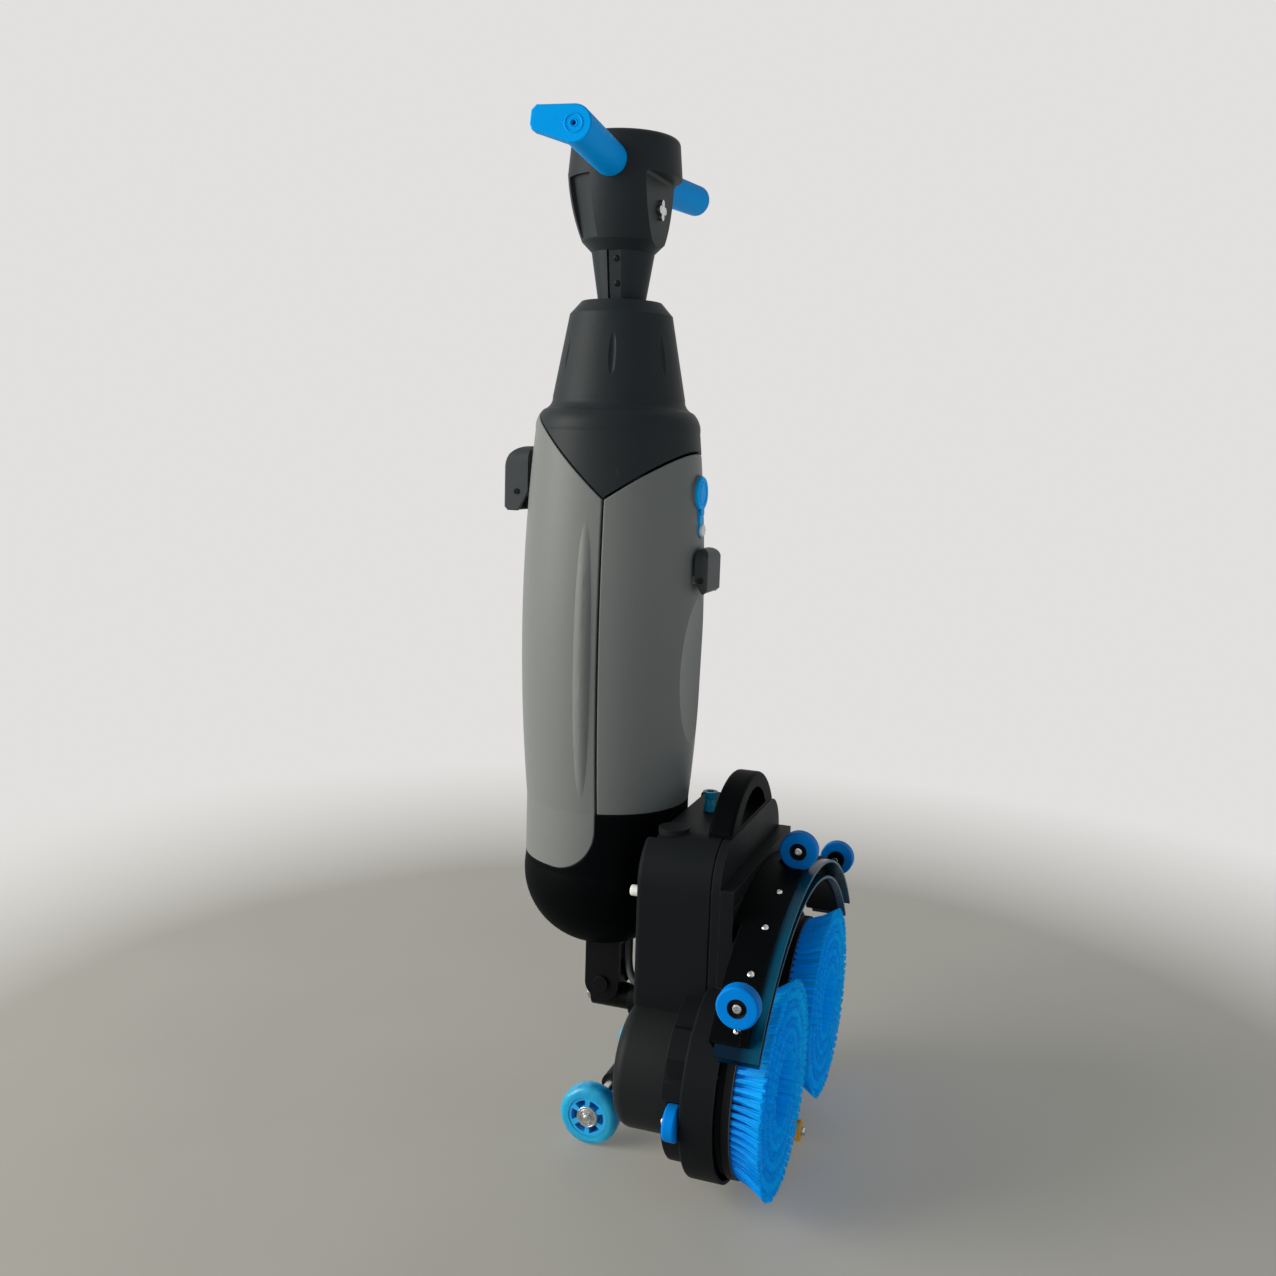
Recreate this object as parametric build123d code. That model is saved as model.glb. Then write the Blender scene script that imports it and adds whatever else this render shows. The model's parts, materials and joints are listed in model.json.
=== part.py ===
from build123d import *
import os
from math import acos, atan2, cos, degrees, hypot, pi, radians, sin, sqrt, tan

# A walk-behind floor scrubber with two brushes, standing parked: the column is upright and the
# deck is folded up, so its brushes face the operator.
# X points to the operator's side, Y runs across the machine with the operator's left at minus Y,
# Z points up and the floor is at zero. All sizes are in millimetres.

# Fits
seat_gap = 0.2
shell_gap = 0.5
pan_share = 0.6
running_gap = 0.05
moving_gap = 0.4
overlap = 1.0

# Column: a round, slightly barrelled body of two tanks between a bowl and a bell-shaped cover
wall = 3.2
spine_thickness = 2.0
bowl_floor_z = 216.0
bowl_floor_radius = 42.0
bowl_height = 96.0
bowl_bulge = 12.0
bowl_sag = 17.0
base_radius = 95.0
base_height = 74.0
barrel_radius = 104.0
barrel_height = 234.0
taper_height = 186.0
shoulder_radius = 93.0
shoulder_height = 37.0
shoulder_inset = 9.0
shoulder_rise = 23.0
bell_low_radius = 74.5
bell_height = 91.0
bell_high_radius = 57.5
bell_scoop_count = 7
bell_scoop_radius = 5.0
bell_scoop_sweep = 120.0
bell_scoop_depth = 2.2
crown_height = 14.0
crown_radius = 45.0
seam_x = 21.0
vee_rise = 115.5
vee_rear_slope = 0.93
vee_front_slope = 0.71
vee_gap = 3.0
rear_tank_step = 68.0
rear_tank_corner = 48.0
tank_edge = 1.2
tank_port_radius = 14.0
rib_foot = 19.0
rib_head = 27.5
rib_radius = 12.0
rib_height = 4.5
rib_angle = 87.8
hand_scoop_length = 186.0
hand_scoop_depth = 9.0
hand_scoop_rise = 4.0
shelf_rise = 54.5
shelf_thickness = 3.0
shelf_rear_x = -36.0
shelf_front_x = 70.0
turbine_radius = 36.0
turbine_height = 92.0
pump_length = 42.0
pump_width = 40.0
pump_height = 40.0
pump_head_radius = 14.0
pump_head_height = 22.0
pump_x = -9.0

# Head, neck and handlebar
neck_low_radius = 26.5
neck_high_radius = 35.0
neck_height = 53.0
neck_bore_radius = 18.0
neck_spigot_radius = 24.0
neck_spigot_length = 42.0
neck_collar_height = 14.0
neck_strip_half = 7.0
neck_strip_x = 3.0
neck_strip_depth = 1.2
neck_groove_width = 2.4
neck_groove_depth = 4.0
head_chamfer_height = 11.0
head_low_radius = 46.0
head_height = 70.0
head_wide_radius = 63.0
head_crown = 40.0
head_top_radius = 60.0
head_top_round = 7.0
head_wall = 4.0
head_recess_depth = 5.5
head_recess_drop = 5.0
head_recess_angle = 38.0
head_recess_middle = 126.0
panel_radius = 44.0
panel_thickness = 5.0
panel_ledge = 4.0
panel_sink = 1.0
bar_x = -1.5
bar_rise_over_head = 6.0
bar_sweep = 0.11
bar_rise = 0.023
bar_radius = 12.0
bar_wall = 2.5
bar_sleeve_wall = 3.5
grip_radius = 18.0
grip_inner = 50.0
grip_outer = 199.0
grip_end_wall = 8.0
grip_fin_reach = 42.0
grip_fin_drop = 5.0
grip_fin_depth = 16.0
grip_fin_edge = 2.0
grip_hole_radius = 2.5
button_radius = 8.0
button_proud = 1.8
button_spacing = 32.0
button_x = -12.0
button_collar = 2.0
board_length = 48.0
board_width = 56.0
board_thickness = 2.0
board_drop = 12.0
board_post_radius = 4.0
key_face_x = 41.0
key_core_share = 0.55
key_reach_share = 0.62
key_lobe_share = 0.38
key_drop = 36.0
key_radius = 11.0
key_thickness = 4.0
key_shaft_radius = 4.0

# Tank latches, fill cap and its strap
latch_cheek = 4.5
latch_pin_radius = 2.5
latch_lug_wall = 2.0
latch_play = 0.5
latch_corner = 4.0
latch_top_flat = 1.5
latch_pin_share = 0.48
latch_front_share = 0.3
latch_chamfer = 1.5
latch_shoulder = 17.0
latch_ease_angle = 30.0
front_latch_rise = 11.0
front_latch_height = 50.0
front_latch_width = 52.0
front_latch_proud = 15.5
rear_latch_drop = 22.5
rear_latch_height = 74.0
rear_latch_width = 44.0
rear_latch_proud = 30.0
fill_rise = 5.5
fill_hole_radius = 14.5
cap_radius = 19.0
cap_thickness = 4.0
cap_plug_length = 9.0
cap_tab = 5.0
cap_edge = 1.6
pad_margin = 1.5
pad_proud = 0.8
pad_depth = 10.0
port_depth = 14.0
strap_drop = 41.0
strap_width = 11.0
strap_thickness = 2.6
rivet_radius = 7.0
rivet_height = 3.5
rivet_depth = 6.6

# Joint between the column and the deck
joint_x = 8.0
pitch_drop = 56.0
pitch_pin_radius = 6.0
pitch_pin_head = 4.0
pitch_pin_end = 3.0
yoke_half_length = 21.0
yoke_half_width = 25.0
yoke_cheek = 8.0
yoke_plate = 8.0
eye_setback = 4.0
roll_drop = 22.0
roll_bolt_radius = 7.0
roll_bolt_depth = 22.0
roll_bolt_head = 6.0
link_barrel_radius = 15.5
link_flange_radius = 21.0
link_flange_x = 40.0
pillar_rear_x = 62.0
pillar_half_width = 30.0
pillar_drop = 28.0
hose_diameter = 9.0
hose_top_x = 36.5
hose_top_y = -11.0
hose_foot_y = -22.0
hose_foot_drop = 51.0
hose_clip_length = 6.0

# Brushes, motors and their skirts: the round pieces follow the brush
brush_radius = 115.5
brush_gap = 3.0
brush_lift = 6.5
drum_radius = 70.0
drum_length = 65.0
drum_edge = 14.0
drum_wall = 3.0
skirt_inset = 9.5
skirt_depth = 36.0
skirt_wall = 4.0
skirt_edge = 3.0
skirt_step = 13.0
skirt_step_depth = 23.0
skirt_rear_offset = 61.5
web_half_width = 60.0
web_drop = 60.0
web_rise = 30.0
motor_radius = 48.0
shaft_radius = 8.0
shaft_rear_offset = 24.0
shaft_flange_radius = 48.0
shaft_flange_thickness = 6.0
block_inset = 16.5
block_gap = 5.0
block_thickness = 10.0
block_bore_radius = 33.0
block_edge = 2.0
backing_slice = 3.0
backing_inset = 1.0
backing_bore = 6.0
bristle_length = 32.0
bristle_side = 4.2
bristle_rings = 4
bristles_in_inner_ring = 36
bristles_more_per_ring = 8

# Deck box and carry handle
parked_clearance = 1.0
nest_depth = 13.0
nest_shoulder = 28.0
deck_half_width = 131.0
deck_box_depth = 93.5
deck_box_rise = 68.0
deck_box_height = 188.0
deck_box_wall = 4.0
deck_box_corner = 50.0
deck_box_edge = 6.0
deck_seam_offset = 82.0
deck_seam_width = 2.5
deck_seam_depth = 1.5
handle_rear_offset = 66.0
handle_depth = 27.0
handle_half_width = 90.0
handle_rise = 51.0
handle_foot = 4.0
handle_band = 16.5
handle_hole_half = 56.0
handle_edge = 4.0
plate_thickness = 15.0
plate_drop = 44.0
plate_lip = 17.0
plate_groove_width = 2.0
plate_groove_depth = 1.2
peg_inset = 15.0
peg_drop = 63.0
peg_radius = 6.0
peg_length = 10.0
peg_stem_radius = 3.6
peg_depth = 8.0
spigot_x_offset = 40.0
spigot_y = 5.0
spigot_height = 23.0
spigot_radius = 8.5
spigot_bore = 4.5
spigot_flare = 9.0
knob_x_offset = 26.0
knob_y = -84.0
knob_radius = 17.0
knob_height = 4.0

# Squeegee
squeegee_radius = 312.0
squeegee_drop = 106.0
squeegee_band = 28.0
squeegee_half_angle = 49.2
squeegee_mount_angle = 24.0
squeegee_mount_depth = 8.0
squeegee_top = 6.0
squeegee_depth = 40.0
squeegee_wall = 2.8
squeegee_mouth = 8.0
blade_thickness = 3.0
blade_tip_setback = 2.0
blade_step = 2.0
blade_end_lap = 2.4
screw_radius = 4.0
screw_head_height = 2.2
screw_first_angle = 13.0
screw_step_angle = 11.2
screws_each_side = 4
screw_setback = 14.0

# Rollers and wheels
squeegee_wheel_radius = 21.5
squeegee_wheel_width = 16.0
squeegee_wheel_setback = 1.0
squeegee_wheel_edge = 2.5
wheel_recess_share = 0.46
wheel_recess_depth = 4.0
end_wheel_lift = 45.0
wheel_blade_gap = 0.6
wheel_lug_radius = 11.0
wheel_lug_thickness = 8.0
wheel_ear_half = 9.0
wheel_ear_over = 6.0
wheel_ear_rear = 4.0
screw_ear_gap = 1.5
roller_bolt_radius = 4.0
roller_bolt_head = 6.0
roller_bolt_head_height = 4.0
bumper_radius = 19.0
bumper_width = 14.0
bumper_offset = 95.0
bumper_drop = 10.0
bumper_margin = 2.0
bumper_edge = 3.0
bracket_inset = 22.0
bracket_half_width = 14.0
bracket_height = 78.0
support_roller_radius = 12.0
support_roller_length = 20.0
support_roller_edge = 2.5
support_bolt_depth = 13.0
support_foot_half = 7.0
support_offset = 12.0
transport_x = 26.0
transport_y = 95.0
transport_radius = 35.0
transport_width = 24.0
transport_edge = 8.0
hub_radius = 23.0
hub_bore_radius = 8.0
hub_rim = 3.5
hub_boss = 4.5
spoke_windows = 6
window_half_angle = 20.0
axle_radius = 8.0
axle_collar = 3.0
axle_collar_width = 5.0
axle_nut_height = 5.0
arm_half_width = 13.0
arm_boss_width = 12.0
arm_boss_wall = 6.0

# Heights of the column, from the bowl's floor up
bowl_turn_z = bowl_floor_z + bowl_height
front_tank_low_z = bowl_turn_z + base_height
rear_tank_low_z = front_tank_low_z - rear_tank_step
barrel_z = front_tank_low_z + barrel_height
vee_low_z = barrel_z + vee_rise
shoulder_z = barrel_z + taper_height
bell_low_z = shoulder_z + shoulder_height
bell_high_z = bell_low_z + bell_height
cover_top_z = bell_high_z + crown_height
neck_high_z = cover_top_z + neck_height
head_chamfer_z = neck_high_z + head_chamfer_height
head_wide_z = head_chamfer_z + head_height
head_top_z = head_wide_z + head_crown
bar_z = head_wide_z + bar_rise_over_head
key_z = head_wide_z - key_drop
rib_low_z = front_tank_low_z + rib_foot
rib_high_z = vee_low_z - rib_head
front_latch_low_z = barrel_z + front_latch_rise
front_latch_high_z = front_latch_low_z + front_latch_height
rear_latch_low_z = vee_low_z - rear_latch_drop
rear_latch_high_z = rear_latch_low_z + rear_latch_height
fill_z = vee_low_z + fill_rise
strap_low_z = fill_z - strap_drop
pitch_z = bowl_floor_z - pitch_drop
roll_z = pitch_z - roll_drop

def circle_through(first, middle, last):
    """Centre and radius of the circle through three (radius, z) points."""
    ax, ay = first
    bx, by = middle
    cx, cy = last
    turn = 2 * (ax * (by - cy) + bx * (cy - ay) + cx * (ay - by))
    a_square = ax * ax + ay * ay
    b_square = bx * bx + by * by
    c_square = cx * cx + cy * cy
    centre_r = (a_square * (by - cy) + b_square * (cy - ay) + c_square * (ay - by)) / turn
    centre_z = (a_square * (cx - bx) + b_square * (ax - cx) + c_square * (bx - ax)) / turn
    return centre_r, centre_z, sqrt((ax - centre_r) ** 2 + (ay - centre_z) ** 2)


bowl_middle_z = (bowl_floor_z + bowl_turn_z) / 2 - bowl_sag
bowl_middle = ((bowl_floor_radius + base_radius) / 2 + bowl_bulge, bowl_middle_z)
bowl_arc = circle_through((bowl_floor_radius, bowl_floor_z), bowl_middle, (base_radius, bowl_turn_z))
bowl_reach = max(base_radius, bowl_arc[0] + bowl_arc[2])

# Places along X on the deck follow the column's foot, so the two clear each other when parked
nest_x = bowl_reach + parked_clearance
deck_box_rear_x = nest_x - nest_depth
deck_box_front_x = deck_box_rear_x + deck_box_depth
skirt_rear_x = deck_box_rear_x + skirt_rear_offset
skirt_step_x = skirt_rear_x + skirt_step_depth
skirt_front_x = skirt_step_x + skirt_depth
cup_floor_x = skirt_step_x + skirt_wall
drum_rear_x = skirt_rear_x - drum_length
plate_front_x = deck_box_front_x + plate_thickness
block_rear_x = skirt_front_x + block_gap
block_front_x = block_rear_x + block_thickness
bristle_root_x = block_front_x + backing_slice
bristle_tip_x = bristle_root_x + bristle_length
squeegee_rear_x = plate_front_x + seat_gap + squeegee_mount_depth
squeegee_front_x = squeegee_rear_x + squeegee_depth
blade_tip_x = bristle_tip_x - blade_tip_setback
wheel_x = bristle_tip_x - squeegee_wheel_radius - squeegee_wheel_setback
support_x = block_front_x + support_offset
bumper_front_x = skirt_step_x - moving_gap - overlap
bumper_rear_x = bumper_front_x - bumper_width

# Places across the deck and up it follow the brush
brush_y = brush_radius + brush_gap / 2
brush_z = brush_radius + brush_lift
skirt_radius = brush_radius - skirt_inset
skirt_step_radius = skirt_radius - skirt_step
block_radius = brush_radius - block_inset
bumper_y = brush_y + bumper_offset
bumper_z = brush_z - bumper_drop
nest_half_width = deck_half_width - nest_shoulder
deck_box_low_z = brush_z + deck_box_rise
deck_box_high_z = deck_box_low_z + deck_box_height
battery_low_z = brush_z + skirt_radius + 1.5 * deck_box_wall
handle_top_z = deck_box_high_z + handle_rise
plate_high_z = deck_box_high_z - plate_drop
peg_y = deck_half_width - peg_inset
peg_z = deck_box_high_z - peg_drop
squeegee_centre_z = brush_z - squeegee_drop
squeegee_end_y = squeegee_radius * sin(radians(squeegee_half_angle))
squeegee_end_z = squeegee_centre_z + squeegee_radius * cos(radians(squeegee_half_angle))
outer_blade_radius = squeegee_radius - squeegee_wall - seat_gap / 2
inner_blade_radius = squeegee_radius - squeegee_band + squeegee_wall + blade_thickness + seat_gap / 2
end_wheel_z = squeegee_end_z + end_wheel_lift
centre_wheel_z = squeegee_centre_z + outer_blade_radius + squeegee_wheel_radius + wheel_blade_gap
end_wheel_start = squeegee_end_y + moving_gap
left_wheel_start = -end_wheel_start - squeegee_wheel_width
centre_wheel_start = -squeegee_wheel_width / 2


def disc_x(y, z, radius, x_start, x_end):
    """Round bar along X."""
    return extrude(Plane.YZ.offset(x_start) * Pos(y, z) * Circle(radius), amount=x_end - x_start)


def disc_y(x, z, radius, y_start, y_end):
    """Round bar along Y."""
    return extrude(Plane.XZ.offset(-y_start) * Pos(x, z) * Circle(radius), amount=y_start - y_end)


def disc_z(x, y, radius, z_start, z_end):
    """Round bar along Z."""
    return extrude(Plane.XY.offset(z_start) * Pos(x, y) * Circle(radius), amount=z_end - z_start)


def block(x_start, x_end, y_start, y_end, z_start, z_end):
    """Box between two corners."""
    size = (x_end - x_start, y_end - y_start, z_end - z_start)
    centre = ((x_start + x_end) / 2, (y_start + y_end) / 2, (z_start + z_end) / 2)
    return Pos(*centre) * Box(*size)


def slab_y(points, half_width):
    """Prism across the machine over an outline of (x, z) points."""
    face = make_face(Polyline(*points, close=True))
    return extrude(Plane.XZ.offset(-half_width) * face, amount=2 * half_width)


def turned(points):
    """Body of revolution about the column's axis over an outline of (radius, z) points."""
    return revolve(Plane.XZ * make_face(Polyline(*points, close=True)), axis=Axis.Z)


barrel_arc = circle_through(
    (base_radius, front_tank_low_z), (barrel_radius, barrel_z), (shoulder_radius, shoulder_z)
)


def body_radius(z):
    """Outer radius of the barrelled column at a height between the bowl and the shoulder."""
    centre_r, centre_z, radius = barrel_arc
    return centre_r + sqrt(radius**2 - (z - centre_z) ** 2)


strap_pad_x = body_radius(fill_z) + pad_proud


def column_solid(inset):
    """The column from bowl to bell as one solid, drawn in by inset all round."""
    low = bowl_floor_z + inset
    high = cover_top_z - inset
    middle = (bowl_middle[0] - inset, bowl_middle[1] + inset / 2)
    turn_r = shoulder_radius - shoulder_inset
    turn_z = shoulder_z + shoulder_rise
    shoulder_turn = (turn_r - inset, turn_z)
    hollow_r = bell_low_radius + 0.27 * (turn_r - bell_low_radius)
    hollow_z = bell_low_z - 0.64 * (bell_low_z - turn_z)
    outline = [
        Line((0, low), (bowl_floor_radius - inset, low)),
        ThreePointArc(
            (bowl_floor_radius - inset, low), middle, (base_radius - inset, bowl_turn_z)
        ),
        Line((base_radius - inset, bowl_turn_z), (base_radius - inset, front_tank_low_z)),
        ThreePointArc(
            (base_radius - inset, front_tank_low_z),
            (barrel_radius - inset, barrel_z),
            (shoulder_radius - inset, shoulder_z),
        ),
        ThreePointArc(
            (shoulder_radius - inset, shoulder_z),
            (shoulder_radius - 0.2 * shoulder_inset - inset, shoulder_z + 0.565 * shoulder_rise),
            shoulder_turn,
        ),
        ThreePointArc(
            shoulder_turn,
            (hollow_r - inset, hollow_z),
            (bell_low_radius - inset, bell_low_z),
        ),
        Line((bell_low_radius - inset, bell_low_z), (bell_high_radius - inset, bell_high_z)),
        Line((bell_high_radius - inset, bell_high_z), (crown_radius - inset, high)),
        Line((crown_radius - inset, high), (0, high)),
        Line((0, high), (0, low)),
    ]
    return revolve(Plane.XZ * make_face(outline), axis=Axis.Z)


# The column is parted across its width by one set of lines: the V under the cover, the seam
# between the tanks and the rounded step of the rear tank.
far_out = 2 * barrel_radius
rear_seam_x = seam_x - spine_thickness / 2 - seat_gap
front_seam_x = seam_x + spine_thickness / 2 + seat_gap


def vee_height(x):
    """Height of the V line under the cover at x."""
    if x < seam_x:
        return vee_low_z + vee_rear_slope * (seam_x - x)
    return vee_low_z + vee_front_slope * (x - seam_x)


def cover_region():
    outline = [
        (-far_out, vee_height(-far_out)),
        (seam_x, vee_low_z),
        (far_out, vee_height(far_out)),
        (far_out, cover_top_z + far_out),
        (-far_out, cover_top_z + far_out),
    ]
    return slab_y(outline, far_out)


def rear_region(inset):
    """Space of the rear tank between the V, the seam and its rounded foot."""
    edge = rear_seam_x - inset
    low = rear_tank_low_z + inset
    top = vee_height(rear_seam_x) - vee_gap - inset
    corner = rear_tank_corner - inset
    turn = corner * (1 - sqrt(0.5))
    outline = [
        Line((-far_out, low), (edge - corner, low)),
        ThreePointArc((edge - corner, low), (edge - turn, low + turn), (edge, low + corner)),
        Line((edge, low + corner), (edge, top)),
        Line((edge, top), (-far_out, vee_height(-far_out) - vee_gap - inset)),
        Line((-far_out, vee_height(-far_out) - vee_gap - inset), (-far_out, low)),
    ]
    return extrude(Plane.XZ.offset(-far_out) * make_face(outline), amount=2 * far_out)


def front_region(inset):
    """Space of the front tank between the V, the seam and its flat foot."""
    edge = front_seam_x + inset
    low = front_tank_low_z + inset
    outline = [
        (edge, low),
        (far_out, low),
        (far_out, vee_height(far_out) - vee_gap - inset),
        (edge, vee_height(front_seam_x) - vee_gap - inset),
    ]
    return slab_y(outline, far_out)


def bowl_region():
    """Space under both tanks."""
    edge = rear_seam_x + shell_gap
    low = rear_tank_low_z - shell_gap
    corner = rear_tank_corner
    turn = corner * (1 - sqrt(0.5))
    high = front_tank_low_z - shell_gap
    outline = [
        Line((-far_out, low), (edge - corner, low)),
        ThreePointArc((edge - corner, low), (edge - turn, low + turn), (edge, low + corner)),
        Line((edge, low + corner), (edge, high)),
        Line((edge, high), (far_out, high)),
        Line((far_out, high), (far_out, bowl_floor_z - far_out)),
        Line((far_out, bowl_floor_z - far_out), (-far_out, bowl_floor_z - far_out)),
        Line((-far_out, bowl_floor_z - far_out), (-far_out, low)),
    ]
    return extrude(Plane.XZ.offset(-far_out) * make_face(outline), amount=2 * far_out)


column_outer = column_solid(0)
column_inner = column_solid(wall)


def make_upper_cover():
    """Bell, shoulder and V skirt in one moulding, with a socket for the neck."""
    shell = (column_outer - column_inner) & cover_region()
    socket_low = cover_top_z - neck_spigot_length
    socket = disc_z(0, 0, neck_spigot_radius + seat_gap + wall, socket_low, cover_top_z - overlap)
    shell = shell + socket - disc_z(
        0, 0, neck_spigot_radius + seat_gap, socket_low - overlap, cover_top_z + overlap
    )
    scoop_z = (bell_low_z + bell_high_z) / 2
    middle = (bell_low_radius + bell_high_radius) / 2
    slope = degrees(atan2(bell_low_radius - bell_high_radius, bell_height))
    reach = bell_scoop_sweep + bell_scoop_radius - bell_scoop_depth
    ring = Pos(reach, 0, 0) * Rot(90, 0, 0) * Torus(bell_scoop_sweep, bell_scoop_radius)
    scoop = Pos(middle, 0, scoop_z) * Rot(0, -slope, 0) * ring
    for index in range(bell_scoop_count):
        shell = shell - Rot(0, 0, 360 * (index + 0.5) / bell_scoop_count) * scoop
    return shell


def pull_rib(side):
    """Spindle-shaped rib for pulling the tank, which rises from the barrel and sinks back at both ends."""
    middle_z = (rib_low_z + rib_high_z) / 2
    low = (body_radius(rib_low_z) - rib_radius, rib_low_z)
    middle = (body_radius(middle_z) + rib_height - rib_radius, middle_z)
    high = (body_radius(rib_high_z) - rib_radius, rib_high_z)
    centre_r, centre_z, sweep_radius = circle_through(low, middle, high)
    ring = Pos(centre_r, 0, centre_z) * Rot(90, 0, 0) * Torus(sweep_radius, rib_radius)
    span = block(0, far_out, -far_out, far_out, rib_low_z, rib_high_z)
    return Rot(0, 0, side * rib_angle) * (ring & span)


def latch_parts(low_z, high_z, width, proud):
    """A tank latch facing +X and the lug with its pin that carries it, on a body of radius zero.

    The lever straddles the lug, and its back is eased below the pin so that it can swing out.
    """
    pin_x = proud * latch_pin_share
    pin_z = low_z + 0.3 * (high_z - low_z)
    half = width / 2
    lug_half = half - latch_cheek - latch_play
    round_top = proud - latch_corner - latch_top_flat
    eased_x = latch_play + (pin_z - low_z) * tan(radians(latch_ease_angle))
    outline = [
        Line((latch_play, pin_z), (latch_play, high_z - latch_corner)),
        Line((latch_play, high_z - latch_corner), (latch_corner, high_z)),
        Line((latch_corner, high_z), (proud - round_top, high_z)),
        ThreePointArc(
            (proud - round_top, high_z),
            (proud - round_top * (1 - sqrt(0.5)), high_z - round_top * (1 - sqrt(0.5))),
            (proud, high_z - round_top),
        ),
        Line((proud, high_z - round_top), (proud, low_z + latch_corner)),
        Line((proud, low_z + latch_corner), (proud - latch_corner, low_z)),
        Line((proud - latch_corner, low_z), (eased_x, low_z)),
        Line((eased_x, low_z), (latch_play, pin_z)),
    ]
    lever = extrude(Plane.XZ.offset(-half) * make_face(outline), amount=width)
    outer = lever.faces().filter_by(Axis.Y).edges()
    front_edges = outer.filter_by(lambda edge: edge.center().X > proud * latch_front_share)
    lever = chamfer(front_edges, latch_chamfer)
    face = Rectangle(width, high_z - low_z)
    face = fillet(face.vertices().group_by(Axis.Y)[-1], latch_shoulder)
    lever = lever & extrude(Plane.YZ * Pos(0, (low_z + high_z) / 2) * face, amount=proud + overlap)
    lug_half_height = latch_pin_radius + latch_lug_wall
    lug_reach = pin_x + lug_half_height
    slot = block(
        -overlap, lug_reach + latch_play, -lug_half - latch_play, lug_half + latch_play,
        low_z - overlap, pin_z + lug_half_height + pad_depth,
    )
    lever = lever - slot
    lever = lever - disc_y(pin_x, pin_z, latch_pin_radius + running_gap, -half - overlap, half + overlap)
    lug_outline = [
        Line((-pad_depth, pin_z - lug_half_height), (pin_x, pin_z - lug_half_height)),
        ThreePointArc(
            (pin_x, pin_z - lug_half_height), (lug_reach, pin_z), (pin_x, pin_z + lug_half_height)
        ),
        Line((pin_x, pin_z + lug_half_height), (-pad_depth, pin_z + lug_half_height)),
        Line((-pad_depth, pin_z + lug_half_height), (-pad_depth, pin_z - lug_half_height)),
    ]
    lug = extrude(Plane.XZ.offset(-lug_half) * make_face(lug_outline), amount=2 * lug_half)
    lug = lug + disc_y(pin_x, pin_z, latch_pin_radius, -half, half)
    return lever, lug, (pin_x, pin_z)


def latch_seat(low_z, high_z):
    """Radius at which a latch's back stays clear of the barrelled tank."""
    return max(body_radius(low_z), body_radius(high_z), body_radius((low_z + high_z) / 2))


def make_rear_tank():
    """Recovery tank: a hollow half barrel with a rounded foot and an inlet under the cover."""
    solid = column_outer & rear_region(0)
    solid = fillet(solid.edges(), tank_edge)
    for side in (-1, 1):
        solid = solid + pull_rib(side)
    tank = solid - (column_inner & rear_region(wall))
    tank = tank - disc_z(-barrel_radius / 2, 0, tank_port_radius, barrel_z, cover_top_z)
    return tank + rear_lug


def strap_pad(margin):
    """Flat outline behind the fill cap, its strap and the rivet."""
    pad = Pos(0, fill_z) * Circle(cap_radius + margin)
    pad = pad + Pos(0, strap_low_z) * Circle(rivet_radius + margin)
    return pad + Pos(0, (fill_z + strap_low_z) / 2) * Rectangle(strap_width + 2 * margin, strap_drop)


def make_front_tank():
    """Clean water tank: the smaller half barrel, with a hand scoop, fill port and strap pad."""
    solid = column_outer & front_region(0)
    solid = fillet(solid.edges(), tank_edge)
    tank = solid - (column_inner & front_region(wall))
    scoop_radius = (hand_scoop_length / 2) ** 2 / (2 * hand_scoop_depth)
    middle_z = barrel_z + hand_scoop_rise - hand_scoop_length / 2
    centre_x = body_radius(middle_z) - hand_scoop_depth + scoop_radius
    ball = Pos(centre_x, 0, middle_z) * Sphere(scoop_radius)
    dish = solid & (Pos(centre_x - wall, 0, middle_z) * Sphere(scoop_radius))
    tank = tank + dish - ball + front_lug
    pad_x = strap_pad_x
    pad_foot = Plane.YZ.offset(pad_x - port_depth) * strap_pad(pad_margin)
    tank = tank + extrude(pad_foot, amount=port_depth + overlap)
    tank = tank - extrude(Plane.YZ.offset(pad_x) * strap_pad(pad_margin + shell_gap), amount=far_out)
    tank = tank - disc_x(0, fill_z, fill_hole_radius, pad_x - 2 * port_depth, pad_x + overlap)
    stem_radius = rivet_radius / 2 + seat_gap / 2
    return tank - disc_x(0, strap_low_z, stem_radius, pad_x - rivet_depth - seat_gap, pad_x + overlap)


def make_fill_cap():
    """Plug cap of the fill port."""
    pad_x = strap_pad_x
    cap = disc_x(0, fill_z, cap_radius, pad_x + seat_gap, pad_x + seat_gap + cap_thickness)
    cap = chamfer(cap.edges().filter_by(GeomType.CIRCLE).sort_by(Axis.X)[-1], cap_edge)
    plug = disc_x(0, fill_z, fill_hole_radius - moving_gap, pad_x - cap_plug_length, pad_x + overlap)
    tab = block(
        pad_x + strap_thickness + 2 * seat_gap, pad_x + cap_thickness + seat_gap,
        -strap_width / 2, strap_width / 2,
        fill_z - cap_radius - cap_tab, fill_z - cap_radius + cap_tab,
    )
    return cap + plug + tab


def make_cap_strap():
    """Flat strap that keeps the cap on the tank, with an eye round its rivet."""
    pad_x = strap_pad_x + seat_gap
    far_x = pad_x + strap_thickness
    high_z = fill_z - cap_radius - seat_gap
    strap = block(pad_x, far_x, -strap_width / 2, strap_width / 2, strap_low_z, high_z)
    strap = strap + disc_x(0, strap_low_z, rivet_radius + shell_gap, pad_x, far_x)
    return strap - disc_x(0, strap_low_z, rivet_radius / 2 + seat_gap, pad_x - overlap, far_x + overlap)


def make_cap_rivet():
    """Push rivet of the strap."""
    pad_x = strap_pad_x + 2 * seat_gap + strap_thickness
    head = disc_x(0, strap_low_z, rivet_radius, pad_x, pad_x + rivet_height)
    head = fillet(head.edges().filter_by(GeomType.CIRCLE).sort_by(Axis.X)[-1], rivet_height * pan_share)
    return head + disc_x(0, strap_low_z, rivet_radius / 2, strap_pad_x - rivet_depth, pad_x + overlap)


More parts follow.
